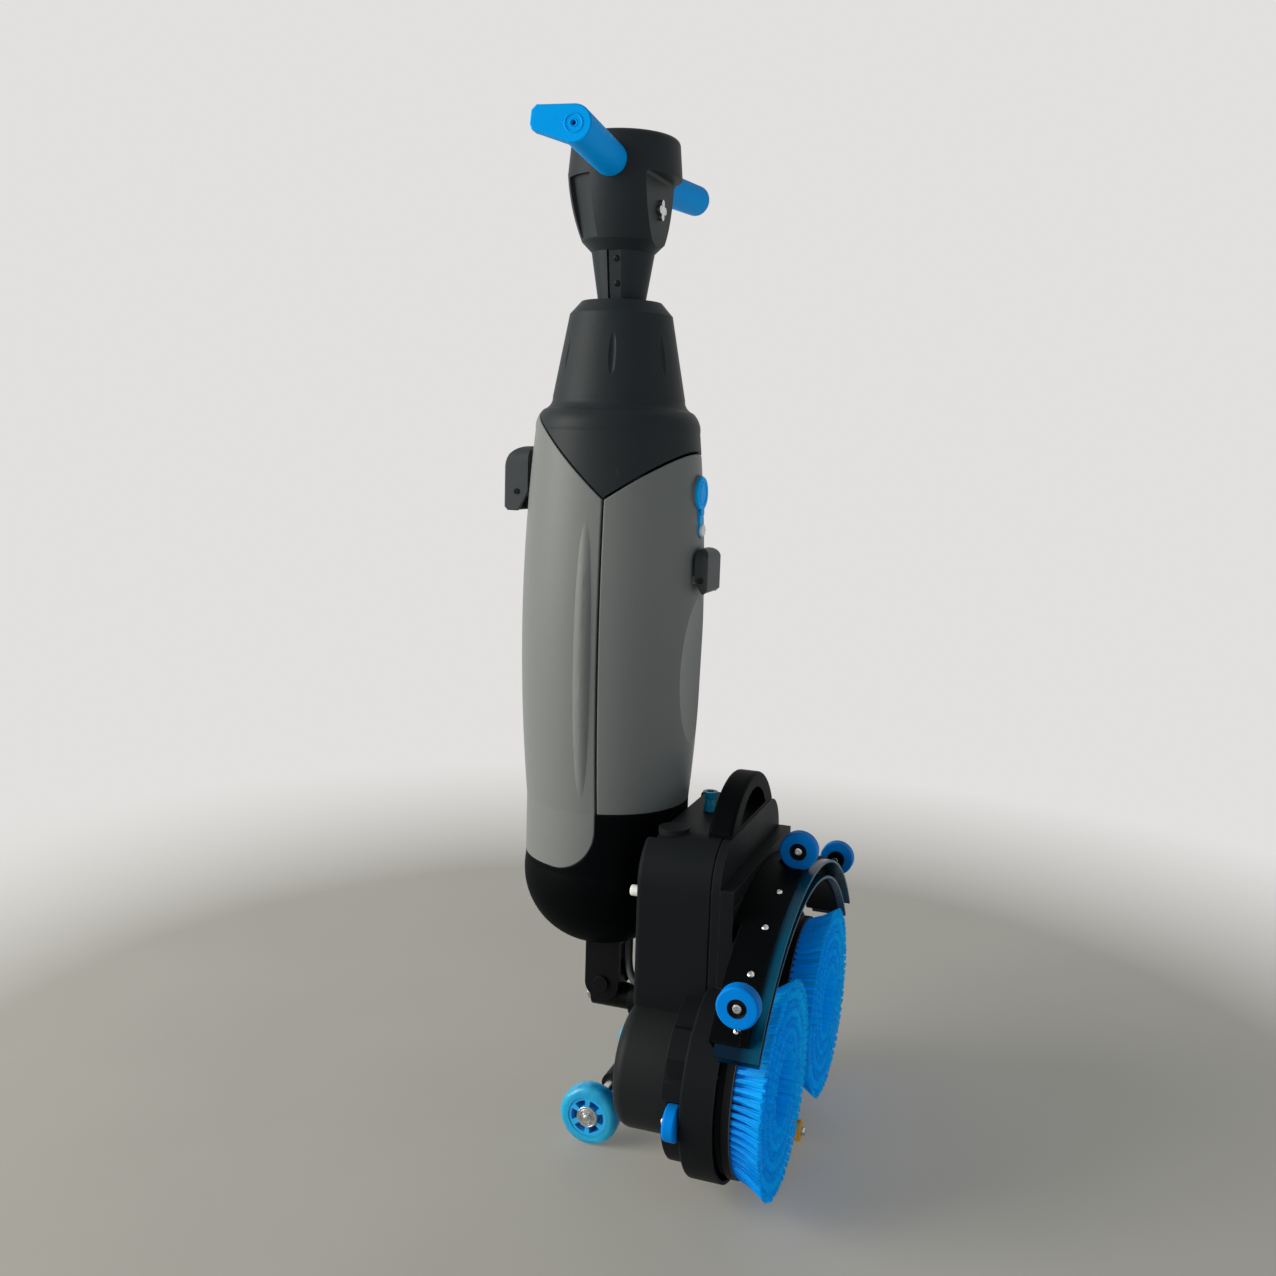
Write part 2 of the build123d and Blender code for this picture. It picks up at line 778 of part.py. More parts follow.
def make_base_bowl():
    """Bowl under the tanks, open at the top."""
    bowl = (column_outer - column_inner) & bowl_region()
    ledge_z = rear_tank_low_z - shell_gap
    ledge = (column_inner & bowl_region()) & block(
        -far_out, far_out, -far_out, far_out, ledge_z - wall, ledge_z
    )
    ledge = ledge - disc_z(0, 0, base_radius - 5 * wall, ledge_z - 2 * wall, ledge_z + wall)
    slot_half = spine_thickness / 2 + seat_gap
    ledge = ledge - block(
        seam_x - slot_half, seam_x + slot_half, -far_out, far_out, ledge_z - 2 * wall, ledge_z + wall
    )
    return bowl + ledge


def make_spine_plate():
    """Sheet between the tanks that carries the cover on the bowl, with a shelf for the vacuum motor."""
    low_z = bowl_floor_z + wall + seat_gap
    shelf_z = vee_low_z + shelf_rise
    clear = wall + seat_gap
    sheet = block(
        seam_x - spine_thickness / 2, seam_x + spine_thickness / 2,
        -far_out, far_out, low_z, shelf_z,
    )
    shelf = block(shelf_rear_x, shelf_front_x, -far_out, far_out, shelf_z - shelf_thickness, shelf_z)
    return (sheet + shelf) & column_solid(clear)


def make_vacuum_motor():
    """Suction turbine in the bell, standing on the spine's shelf."""
    low_z = vee_low_z + shelf_rise
    waist_z = low_z + turbine_height / 2
    motor = disc_z(0, 0, turbine_radius, low_z, waist_z)
    return motor + disc_z(0, 0, 0.72 * turbine_radius, waist_z, low_z + turbine_height)


def make_water_pump():
    """Small pump for the clean water, on the bowl's floor."""
    low_z = bowl_floor_z + wall
    high_z = low_z + pump_height
    pump = block(
        pump_x - pump_length / 2, pump_x + pump_length / 2, -pump_width / 2, pump_width / 2, low_z, high_z
    )
    return pump + disc_z(pump_x, 0, pump_head_radius, high_z, high_z + pump_head_height)


def make_neck_sleeve():
    """Tapered neck between the bell and the head, with a flat screw strip on each side."""
    low_z = cover_top_z + seat_gap
    high_z = neck_high_z - seat_gap
    spigot_low = cover_top_z - neck_spigot_length + overlap
    collar_z = neck_high_z + neck_collar_height
    tube = turned([
        (neck_bore_radius, spigot_low), (neck_spigot_radius, spigot_low),
        (neck_spigot_radius, low_z), (neck_low_radius, low_z),
        (neck_high_radius, high_z), (neck_spigot_radius, high_z),
        (neck_spigot_radius, collar_z), (neck_bore_radius, collar_z),
    ])
    strip_start = neck_strip_x - neck_strip_half
    for side in (-1, 1):
        tube = tube - neck_slot(side, neck_strip_depth, strip_start, 2 * neck_strip_half)
        tube = tube - neck_slot(side, neck_groove_depth, strip_start - neck_groove_width, neck_groove_width)
    return tube


def neck_slot(side, depth, x_start, width):
    """Cutter that follows one side of the tapered neck at a depth below its skin."""
    low_z = cover_top_z + seat_gap + overlap
    high_z = neck_high_z + overlap
    outline = make_face(Polyline(
        (side * (neck_low_radius - depth), low_z), (side * (neck_high_radius - depth), high_z),
        (side * 2 * neck_high_radius, high_z), (side * 2 * neck_high_radius, low_z), close=True,
    ))
    return extrude(Plane.YZ.offset(x_start) * outline, amount=width)


def bar_disc(side, radius, start, end):
    """Round bar along one swept half of the handlebar, measured from its elbow."""
    axis = Vector(bar_sweep, side, bar_rise).normalized()
    foot = Vector(bar_x, 0, bar_z) + axis * start
    return extrude(Plane(origin=foot, z_dir=axis) * Circle(radius), amount=end - start)


def head_profile(inset):
    """Outline of the head, with a chamfered foot and a rounded shoulder at the top."""
    low_z = neck_high_z + inset
    high_z = head_top_z - inset
    round_top = head_top_round
    top = head_top_radius - inset
    return [
        Line((0, low_z), (neck_high_radius - inset, low_z)),
        Line((neck_high_radius - inset, low_z), (head_low_radius - inset, head_chamfer_z)),
        ThreePointArc(
            (head_low_radius - inset, head_chamfer_z),
            (head_low_radius + 0.68 * (head_wide_radius - head_low_radius) - inset,
             (head_chamfer_z + head_wide_z) / 2),
            (head_wide_radius - inset, head_wide_z),
        ),
        Line((head_wide_radius - inset, head_wide_z), (top, high_z - round_top)),
        ThreePointArc(
            (top, high_z - round_top),
            (top - 0.3 * round_top, high_z - 0.3 * round_top),
            (top - round_top, high_z),
        ),
        Line((top - round_top, high_z), (0, high_z)),
        Line((0, high_z), (0, low_z)),
    ]


def make_head_housing():
    """Hollow head with two side scoops, a key recess, a panel seat and two grip pockets."""
    head = revolve(Plane.XZ * make_face(head_profile(0)), axis=Axis.Z)
    cavity = revolve(Plane.XZ * make_face(head_profile(head_wall)), axis=Axis.Z)
    floor_top = head_wide_radius - head_recess_depth
    recess_low = head_chamfer_z + 0.5 * head_wall
    recess_high = head_wide_z - head_recess_drop
    recess = make_face(Polyline(
        (head_low_radius, recess_low), (floor_top, recess_high),
        (head_wide_radius + head_wall, recess_high), (head_wide_radius + head_wall, recess_low), close=True,
    ))
    recess = revolve(Plane.XZ * recess, axis=Axis.Z, revolution_arc=head_recess_angle)
    backing_low = head_chamfer_z - 0.5 * head_wall
    backing_high = recess_high + head_wall
    backing = make_face(Polyline(
        (head_low_radius - head_wall, backing_low), (floor_top - head_wall, backing_high),
        (head_wide_radius, backing_high), (head_wide_radius, backing_low), close=True,
    ))
    backing_angle = head_recess_angle + 2 * degrees(head_wall / head_wide_radius)
    backing = revolve(Plane.XZ * backing, axis=Axis.Z, revolution_arc=backing_angle)
    key_top = head_wide_z - 0.5 * head_wall
    key_cut = block(key_face_x, far_out, -far_out, far_out, neck_high_z - overlap, key_top)
    key_cut = fillet(key_cut.edges().filter_by(Axis.Y).sort_by(Axis.X)[:2].sort_by(Axis.Z)[-1:], head_wall)
    key_back = block(key_face_x - head_wall, far_out, -far_out, far_out, neck_high_z, key_top + head_wall)
    cavity = cavity - key_back
    for side in (-1, 1):
        turn = side * head_recess_middle
        head = head - Rot(0, 0, turn - head_recess_angle / 2) * recess
        cavity = cavity - Rot(0, 0, turn - backing_angle / 2) * backing
        cavity = cavity - bar_disc(side, grip_radius + seat_gap + head_wall, grip_inner - head_wall, far_out)
    head = head - key_cut - cavity
    for side in (-1, 1):
        head = head - bar_disc(side, grip_radius + seat_gap, grip_inner, far_out)
    ledge_z = head_top_z - panel_thickness
    head = head - disc_z(0, 0, panel_radius + seat_gap, ledge_z - seat_gap, head_top_z + overlap)
    head = head - disc_z(0, 0, panel_radius - panel_ledge, head_wide_z, head_top_z)
    head = head - disc_z(0, 0, neck_spigot_radius + seat_gap, neck_high_z - overlap, head_chamfer_z)
    for side in (-1, 1):
        head = head + bar_disc(side, bar_radius + bar_sleeve_wall, 0, grip_inner - head_wall + overlap)
    for side in (-1, 1):
        head = head - bar_disc(side, bar_radius + running_gap, -bar_radius, far_out)
    key_bore = disc_x(0, key_z, key_shaft_radius + running_gap, key_face_x - head_wall - overlap, far_out)
    return head - key_bore


def make_control_panel():
    """Round panel in the top of the head, with two button holes."""
    low_z = head_top_z - panel_thickness
    panel = disc_z(0, 0, panel_radius, low_z, head_top_z - panel_sink)
    for side in (-1, 1):
        y = side * button_spacing / 2
        panel = panel - disc_z(button_x, y, button_radius + moving_gap, low_z - overlap, head_top_z)
    return panel


def make_button(side):
    """Push button with a collar under the panel."""
    y = side * button_spacing / 2
    collar_z = head_top_z - panel_thickness - seat_gap
    low_z = collar_z - button_collar
    cap = disc_z(button_x, y, button_radius, low_z, head_top_z - panel_sink + button_proud)
    cap = fillet(cap.edges().filter_by(GeomType.CIRCLE).sort_by(Axis.Z)[-1], button_proud / 2)
    return cap + disc_z(button_x, y, button_radius + button_collar, low_z, collar_z)


def make_control_board():
    """Circuit board under the panel, hung from the handlebar's sleeve."""
    sleeve_low = bar_z - bar_radius - bar_sleeve_wall
    low_z = sleeve_low - board_drop
    board = block(
        -board_length / 2, board_length / 2, -board_width / 2, board_width / 2, low_z, low_z + board_thickness
    )
    return board + disc_z(bar_x, 0, board_post_radius, low_z + overlap, sleeve_low - seat_gap)


def make_key_knob():
    """Star-shaped key switch that turns on a short shaft."""
    face_x = key_face_x + moving_gap
    knob = disc_x(0, key_z, key_core_share * key_radius, face_x, face_x + key_thickness)
    for index in range(4):
        angle = radians(90 * index)
        reach = key_reach_share * key_radius
        knob = knob + disc_x(
            reach * cos(angle), key_z + reach * sin(angle), key_lobe_share * key_radius,
            face_x, face_x + key_thickness,
        )
    return knob + disc_x(0, key_z, key_shaft_radius, key_face_x - head_wall, face_x + overlap)


def make_handlebar_tube():
    """Swept tube through the head that carries both grips."""
    reach = grip_outer - grip_end_wall - seat_gap
    tube = bar_disc(-1, bar_radius, 0, reach) + bar_disc(1, bar_radius, 0, reach)
    tube = tube + Pos(bar_x, 0, bar_z) * Sphere(bar_radius)
    bore = bar_radius - bar_wall
    return tube - bar_disc(-1, bore, 0, reach + overlap) - bar_disc(1, bore, 0, reach + overlap)


def make_left_grip():
    """Soft grip with a hand stop that points away from the operator."""
    axis = Vector(bar_sweep, -1, bar_rise).normalized()
    start = Vector(bar_x, 0, bar_z) + axis * (grip_outer - grip_fin_depth)
    end_frame = Plane(origin=start, x_dir=(1, 0, 0), z_dir=axis)
    tip = -grip_fin_reach
    tangent = acos(grip_radius / hypot(tip, grip_fin_drop))
    foot_angle = atan2(-grip_fin_drop, tip) + tangent
    foot = (grip_radius * cos(foot_angle), grip_radius * sin(foot_angle))
    outline = [
        Line((tip, -grip_fin_drop), foot),
        ThreePointArc(foot, (grip_radius, 0), (0, grip_radius)),
        Line((0, grip_radius), (0.9 * tip, grip_radius)),
        Line((0.9 * tip, grip_radius), (1.02 * tip, 0.72 * grip_radius)),
        Line((1.02 * tip, 0.72 * grip_radius), (1.05 * tip, 0)),
        Line((1.05 * tip, 0), (tip, -grip_fin_drop)),
    ]
    fin = extrude(end_frame * make_face(outline), amount=grip_fin_depth)
    fin = fillet(fin.faces().sort_by(Axis.Y)[0].edges(), grip_fin_edge)
    grip = bar_disc(-1, grip_radius, grip_inner + seat_gap, grip_outer - grip_fin_depth / 2) + fin
    bore_end = grip_outer - grip_end_wall
    grip = grip - bar_disc(-1, bar_radius + running_gap, grip_inner - overlap, bore_end)
    return grip - bar_disc(-1, grip_hole_radius, bore_end - overlap, grip_outer + overlap)


def make_upper_yoke():
    """Fork under the bowl, round at its foot about the pitch pin."""
    cheek_y = yoke_half_width - yoke_cheek
    top_z = bowl_floor_z - seat_gap
    fork = block(
        joint_x - yoke_half_length, joint_x + yoke_half_length,
        -yoke_half_width, yoke_half_width, pitch_z, top_z,
    )
    fork = fork + disc_y(joint_x, pitch_z, yoke_half_length, -yoke_half_width, yoke_half_width)
    gap = block(
        joint_x - far_out, joint_x + far_out, -cheek_y, cheek_y, pitch_z - far_out, top_z - yoke_plate
    )
    fork = fork - gap
    return fork - disc_y(joint_x, pitch_z, pitch_pin_radius + running_gap, -far_out, far_out)


def make_pitch_pin():
    """Headed pin on which the column tilts."""
    end = yoke_half_width + seat_gap
    pin = disc_y(joint_x, pitch_z, pitch_pin_radius, -end - pitch_pin_head, end + pitch_pin_end)
    return pin + disc_y(joint_x, pitch_z, 1.5 * pitch_pin_radius, -end - pitch_pin_head, -end)


def make_cross_link():
    """Link between the fork and the deck: an eye on the pitch pin and a barrel on the roll bolt."""
    half = yoke_half_width - yoke_cheek - moving_gap
    eye_radius = yoke_half_length - eye_setback
    barrel_rear = joint_x - eye_radius
    link = disc_y(joint_x, pitch_z, eye_radius, -half, half)
    link = link + disc_x(0, roll_z, link_barrel_radius, barrel_rear, link_flange_x + overlap)
    link = link + block(joint_x - eye_radius, joint_x + eye_radius, -half, half, roll_z, pitch_z)
    link = link + disc_x(0, roll_z, link_flange_radius, link_flange_x, pillar_rear_x - moving_gap)
    foot_z = bowl_floor_z - hose_foot_drop
    clip_end = pillar_rear_x - moving_gap
    link = link + block(
        clip_end - hose_clip_length, clip_end, hose_foot_y - hose_diameter / 2, hose_foot_y + hose_diameter,
        roll_z + link_flange_radius / 2, foot_z,
    )
    link = link - disc_x(hose_foot_y, foot_z, hose_diameter / 2 + seat_gap, link_flange_x, pillar_rear_x)
    link = link - disc_y(joint_x, pitch_z, pitch_pin_radius + running_gap, -far_out, far_out)
    return link - disc_x(0, roll_z, roll_bolt_radius + running_gap, -far_out, far_out)


def make_roll_bolt():
    """Bolt through the link's barrel into the deck's pillar, on which the column swivels."""
    head_x = joint_x - yoke_half_length + eye_setback - moving_gap
    hexagon = Pos(0, roll_z) * RegularPolygon(1.5 * roll_bolt_radius, 6)
    head = extrude(Plane.YZ.offset(head_x - roll_bolt_head) * hexagon, amount=roll_bolt_head)
    return head + disc_x(0, roll_z, roll_bolt_radius, head_x - overlap, pillar_rear_x + roll_bolt_depth)


def route_radii(points):
    """Largest tangent arc at each inner point: 0.45 of the shorter run over the half turn's tangent."""
    radii = []
    for before, here, after in zip(points, points[1:], points[2:]):
        first = Vector(*here) - Vector(*before)
        second = Vector(*after) - Vector(*here)
        turn = radians(first.get_angle(second))
        radii.append(0.45 * min(first.length, second.length) / tan(turn / 2))
    return radii


def make_hose():
    """Water hose from the bowl's floor past the fork to the pillar's face."""
    end_x = pillar_rear_x - moving_gap
    run = end_x - hose_top_x
    side = hose_foot_y - hose_top_y
    foot_z = bowl_floor_z - hose_foot_drop
    points = [
        (hose_top_x, hose_top_y, bowl_floor_z - moving_gap),
        (hose_top_x, hose_top_y, bowl_floor_z - 0.5 * hose_foot_drop),
        (hose_top_x + 0.14 * run, hose_top_y + 0.45 * side, bowl_floor_z - 0.78 * hose_foot_drop),
        (hose_top_x + 0.5 * run, hose_foot_y, foot_z),
        (end_x, hose_foot_y, foot_z),
    ]
    radii = route_radii(points)
    path = FilletPolyline(*points, radius=radii)
    start = Plane(origin=path @ 0, z_dir=path % 0)
    hose = sweep(start * Circle(hose_diameter / 2), path=path)
    measured = hose.volume / (pi * hose_diameter**2 / 4 * path.length)
    print("hose radii", [round(radius, 1) for radius in radii], "length", round(path.length, 1))
    print("hose volume over section times length", round(measured, 4))
    return hose


def make_deck_cowl():
    """Deck frame: two round brush skirts, a web, the squeegee plate, the swivel pillar and the wheel arm."""
    cowl = block(
        skirt_rear_x, cup_floor_x, -web_half_width, web_half_width,
        brush_z - web_drop, deck_box_low_z + web_rise,
    )
    cowl = cowl + block(
        deck_box_front_x + seat_gap, plate_front_x, -deck_half_width, deck_half_width,
        brush_z, plate_high_z,
    )
    lip_z = plate_high_z - plate_lip
    cowl = cowl - block(
        plate_front_x - plate_groove_depth, plate_front_x + overlap, -far_out, far_out,
        lip_z - plate_groove_width, lip_z,
    )
    for side in (-1, 1):
        cowl = cowl + disc_x(side * brush_y, brush_z, skirt_step_radius, skirt_rear_x, skirt_step_x + overlap)
        skirt = disc_x(side * brush_y, brush_z, skirt_radius, skirt_step_x, skirt_front_x)
        cowl = cowl + fillet(skirt.edges().filter_by(GeomType.CIRCLE).sort_by(Axis.X)[0], skirt_edge)
        bracket_y = side * (bumper_y - bracket_inset)
        bracket = block(
            skirt_rear_x + skirt_edge, skirt_step_x,
            bracket_y - bracket_half_width, bracket_y + bracket_half_width,
            brush_z, brush_z + bracket_height,
        )
        rim = skirt_radius - skirt_edge
        cowl = cowl + (bracket & disc_x(side * brush_y, brush_z, rim, skirt_rear_x, skirt_step_x))
    for side in (-1, 1):
        cowl = cowl - disc_x(
            side * brush_y, brush_z, skirt_radius - skirt_wall, cup_floor_x, skirt_front_x + overlap
        )
        cowl = cowl - disc_x(
            side * brush_y, brush_z, skirt_step_radius - skirt_wall, skirt_rear_x + skirt_wall, skirt_front_x
        )
        cowl = cowl - disc_x(
            side * brush_y, brush_z, shaft_radius + moving_gap, skirt_rear_x - overlap, skirt_front_x
        )
        cowl = cowl - disc_x(
            side * bumper_y, bumper_z, bumper_radius + bumper_margin,
            skirt_rear_x - overlap, skirt_step_x - seat_gap,
        )
        cowl = cowl - disc_x(
            side * bumper_y, bumper_z, roller_bolt_radius + running_gap, skirt_rear_x, cup_floor_x + overlap
        )
    pillar_low = roll_z - pillar_drop
    cowl = cowl + block(
        pillar_rear_x, skirt_rear_x + overlap, -pillar_half_width, pillar_half_width,
        pillar_low, deck_box_low_z - seat_gap,
    )
    boss = axle_radius + arm_boss_wall
    arm = slab_y(
        [
            (pillar_rear_x + overlap, pillar_low), (pillar_rear_x + overlap, pillar_low + 1.5 * boss),
            (pillar_rear_x + 3 * boss, pillar_low + overlap),
            (transport_x + 0.9 * boss, transport_radius - 0.7 * boss),
            (transport_x - 0.7 * boss, transport_radius + 0.3 * boss),
        ],
        arm_half_width,
    )
    boss_half = arm_half_width + arm_boss_width
    cowl = cowl + arm + disc_y(transport_x, transport_radius, boss, -boss_half, boss_half)
    cowl = cowl - disc_y(transport_x, transport_radius, axle_radius + running_gap, -far_out, far_out)
    cowl = cowl - disc_x(
        0, roll_z, roll_bolt_radius + running_gap,
        pillar_rear_x - overlap, pillar_rear_x + roll_bolt_depth + moving_gap,
    )
    cowl = cowl + block(
        skirt_rear_x, support_x - moving_gap, -support_foot_half, support_foot_half,
        support_roller_radius / 3, brush_z - web_drop + overlap,
    )
    return cowl - disc_x(
        0, support_roller_radius, roller_bolt_radius + running_gap,
        support_x - support_bolt_depth - moving_gap, support_x + overlap,
    )


def box_section(inset):
    """Cross-section of the deck box with its round shoulders."""
    half = deck_half_width - inset
    high = deck_box_high_z - inset
    corner = deck_box_corner - inset
    turn = corner * (1 - sqrt(0.5))
    return make_face([
        Line((-half, deck_box_low_z), (half, deck_box_low_z)),
        Line((half, deck_box_low_z), (half, high - corner)),
        ThreePointArc((half, high - corner), (half - turn, high - turn), (half - corner, high)),
        Line((half - corner, high), (corner - half, high)),
        ThreePointArc((corner - half, high), (turn - half, high - turn), (-half, high - corner)),
        Line((-half, high - corner), (-half, deck_box_low_z)),
    ])


def make_deck_box():
    """Battery and valve housing on the deck, with round shoulders and a nest for the column."""
    box = extrude(Plane.YZ.offset(deck_box_rear_x) * box_section(0), amount=deck_box_depth)
    rear = box.faces().sort_by(Axis.X)[0].edges()
    box = fillet(rear, deck_box_edge)
    seam_x_start = deck_box_rear_x + deck_seam_offset
    seam_ring = box_section(-overlap) - box_section(deck_seam_depth)
    box = box - extrude(Plane.YZ.offset(seam_x_start) * seam_ring, amount=deck_seam_width)
    box = box - block(
        deck_box_rear_x - overlap, nest_x, -nest_half_width, nest_half_width,
        deck_box_low_z - overlap, deck_box_high_z + overlap,
    )
    lid = box_section(deck_box_wall) & Pos(0, battery_low_z + far_out) * Rectangle(2 * far_out, 2 * far_out)
    box = box - extrude(
        Plane.YZ.offset(nest_x + deck_box_wall) * lid, amount=deck_box_front_x - nest_x - 2 * deck_box_wall
    )
    for side in (-1, 1):
        box = box - disc_x(
            side * brush_y, brush_z, skirt_step_radius + seat_gap,
            skirt_rear_x - seat_gap, skirt_step_x,
        )
        box = box - disc_x(
            side * brush_y, brush_z, skirt_radius + seat_gap,
            skirt_step_x - seat_gap, deck_box_front_x + overlap,
        )
        box = box - disc_x(
            side * brush_y, brush_z, drum_radius + seat_gap, deck_box_rear_x - overlap, skirt_rear_x
        )
        box = box - disc_x(
            side * peg_y, peg_z, peg_stem_radius + seat_gap / 2,
            deck_box_rear_x - overlap, deck_box_rear_x + peg_depth + overlap,
        )
    web_half = web_half_width + seat_gap
    box = box - block(
        skirt_rear_x - seat_gap, deck_box_front_x + overlap, -web_half, web_half,
        deck_box_low_z - overlap, deck_box_low_z + web_rise + seat_gap,
    )
    knob_x = deck_box_rear_x + knob_x_offset
    knob_low_z = deck_box_high_z - deck_box_wall + overlap
    knob = disc_z(knob_x, knob_y, knob_radius, knob_low_z, deck_box_high_z + knob_height)
    knob = fillet(knob.edges().filter_by(GeomType.CIRCLE).sort_by(Axis.Z)[-1], knob_height / 3)
    return box + knob


def make_battery_pack():
    """Battery that fills the deck box."""
    gap = deck_box_wall + seat_gap
    section = box_section(gap) & Pos(0, battery_low_z + far_out) * Rectangle(2 * far_out, 2 * far_out)
    return extrude(Plane.YZ.offset(nest_x + gap) * section, amount=deck_box_front_x - nest_x - 2 * gap)


def make_carry_handle():
    """Arched handle on the deck box, open fore and aft."""
    rear_x = deck_box_rear_x + handle_rear_offset
    low_z = deck_box_high_z + seat_gap
    shoulder = low_z + handle_foot
    arch = make_face([
        Line((-handle_half_width, low_z), (-handle_half_width, shoulder)),
        ThreePointArc((-handle_half_width, shoulder), (0, handle_top_z), (handle_half_width, shoulder)),
        Line((handle_half_width, shoulder), (handle_half_width, low_z)),
        Line((handle_half_width, low_z), (-handle_half_width, low_z)),
    ])
    solid = extrude(Plane.YZ.offset(rear_x) * arch, amount=handle_depth)
    rims = solid.edges().filter_by(GeomType.CIRCLE)
    solid = fillet(rims, handle_edge)
    hole_low = low_z + handle_foot
    hole_high = handle_top_z - handle_band
    window = make_face([
        Line((-handle_hole_half, hole_low), (handle_hole_half, hole_low)),
        ThreePointArc((handle_hole_half, hole_low), (0, hole_high), (-handle_hole_half, hole_low)),
    ])
    return solid - extrude(Plane.YZ.offset(rear_x - overlap) * window, amount=handle_depth + 2 * overlap)


def make_stop_pegs():
    """White stops on the back of the deck box, which limit the swivel when parked."""
    pegs = []
    for side in (-1, 1):
        rear_x = deck_box_rear_x - seat_gap - peg_length
        head = disc_x(side * peg_y, peg_z, peg_radius, rear_x, deck_box_rear_x - seat_gap)
        head = fillet(head.edges().filter_by(GeomType.CIRCLE).sort_by(Axis.X)[0], peg_radius / 4)
        stem_end = deck_box_rear_x + peg_depth
        pegs.append(head + disc_x(side * peg_y, peg_z, peg_stem_radius, rear_x + peg_radius, stem_end))
    return Compound(pegs)


def make_hose_spigot():
    """Small flared spigot on top of the deck box."""
    x = deck_box_rear_x + spigot_x_offset
    low_z = deck_box_high_z + seat_gap
    high_z = low_z + spigot_height
    profile = make_face(Polyline(
        (spigot_bore, low_z), (0.88 * spigot_radius, low_z), (0.7 * spigot_radius, high_z - spigot_flare),
        (0.82 * spigot_radius, high_z - 0.8 * spigot_flare), (spigot_radius, high_z),
        (spigot_bore, high_z), close=True,
    ))
    return Pos(x, spigot_y, 0) * revolve(Plane.XZ * profile, axis=Axis.Z)


def make_motor_cover(side):
    """Round cover behind each brush motor."""
    y = side * brush_y
    cover = disc_x(y, brush_z, drum_radius, drum_rear_x, skirt_rear_x - seat_gap)
    cover = fillet(cover.edges().filter_by(GeomType.CIRCLE).sort_by(Axis.X)[0], drum_edge)
    return cover - disc_x(
        y, brush_z, motor_radius + seat_gap, drum_rear_x + drum_wall, skirt_rear_x + overlap
    )


def make_motor(side):
    """Gear motor inside its cover, bored for the drive shaft."""
    y = side * brush_y
    motor = disc_x(
        y, brush_z, motor_radius, drum_rear_x + drum_wall + seat_gap, skirt_rear_x - seat_gap
    )
    bore_x = drum_rear_x + shaft_rear_offset - moving_gap
    return motor - disc_x(y, brush_z, shaft_radius + running_gap, bore_x, skirt_rear_x + overlap)


def make_drive_shaft(side):
    """Shaft and flange that turn the brush."""
    y = side * brush_y
    flange_x = block_rear_x - seat_gap
    shaft = disc_x(y, brush_z, shaft_radius, drum_rear_x + shaft_rear_offset, flange_x)
    return shaft + disc_x(y, brush_z, shaft_flange_radius, flange_x - shaft_flange_thickness, flange_x)


def make_brush_block(side):
    """Round block that holds the tufts, open in the middle."""
    y = side * brush_y
    solid = disc_x(y, brush_z, block_radius, block_rear_x, block_front_x)
    solid = chamfer(solid.edges().filter_by(GeomType.CIRCLE).sort_by(Axis.X)[0], block_edge)
    return solid - disc_x(y, brush_z, block_bore_radius, block_rear_x - overlap, block_front_x + overlap)


def make_bristles(side):
    """Tufts in rings, each a four-sided strand that leans outward, on a slice of their block."""
    y = side * brush_y
    outer = block_radius - backing_inset
    inner = block_bore_radius + backing_bore
    start_x = block_front_x + seat_gap / 4
    slice_ring = disc_x(y, brush_z, outer, start_x, bristle_root_x)
    slice_ring = slice_ring - disc_x(y, brush_z, inner, start_x - overlap, bristle_root_x + overlap)
    strands = []
    root_x = bristle_root_x - overlap
    length = bristle_tip_x - root_x
    for ring in range(bristle_rings):
        share = ring / (bristle_rings - 1)
        root = inner + 2 * bristle_side + share * (outer - inner - 3.5 * bristle_side)
        tip = inner + 2.5 * bristle_side + share * (brush_radius - inner - 3.25 * bristle_side)
        count = bristles_in_inner_ring + ring * bristles_more_per_ring
        for index in range(count):
            angle = 360 * (index + 0.5 * (ring % 2)) / count
            foot = Plane(
                origin=(root_x, y + root * cos(radians(angle)), brush_z + root * sin(radians(angle))),
                x_dir=(0, cos(radians(angle)), sin(radians(angle))), z_dir=(1, 0, 0),
            )
            lean = Vector(
                length, (tip - root) * cos(radians(angle)), (tip - root) * sin(radians(angle))
            )
            section = foot * Rectangle(bristle_side, bristle_side)
            strands.append(extrude(section, amount=lean.length, dir=lean))
    cut = block(
        bristle_tip_x, bristle_tip_x + bristle_length, -3 * far_out, 3 * far_out, -far_out, 3 * far_out
    )
    return slice_ring.fuse(*strands) - cut


def squeegee_band_solid(inner, outer, x_start, x_end, half_angle):
    """Arc-shaped band over the brushes between two radii, cut off along radii at both ends."""
    ring = Circle(outer) - Circle(inner)
    reach = 2 * squeegee_radius
    side = reach * sin(radians(half_angle))
    rise = reach * cos(radians(half_angle))
    wedge = make_face(Polyline(
        (0, 0), (side, rise), (side, reach), (-side, reach), (-side, rise), close=True
    ))
    section = Pos(0, squeegee_centre_z) * (ring & wedge)
    return extrude(Plane.YZ.offset(x_start) * section, amount=x_end - x_start)


def screw_places():
    """Angles of the carrier's screws, measured from the top of the arc."""
    half = [screw_first_angle + index * screw_step_angle for index in range(screws_each_side)]
    return [-angle for angle in half] + half


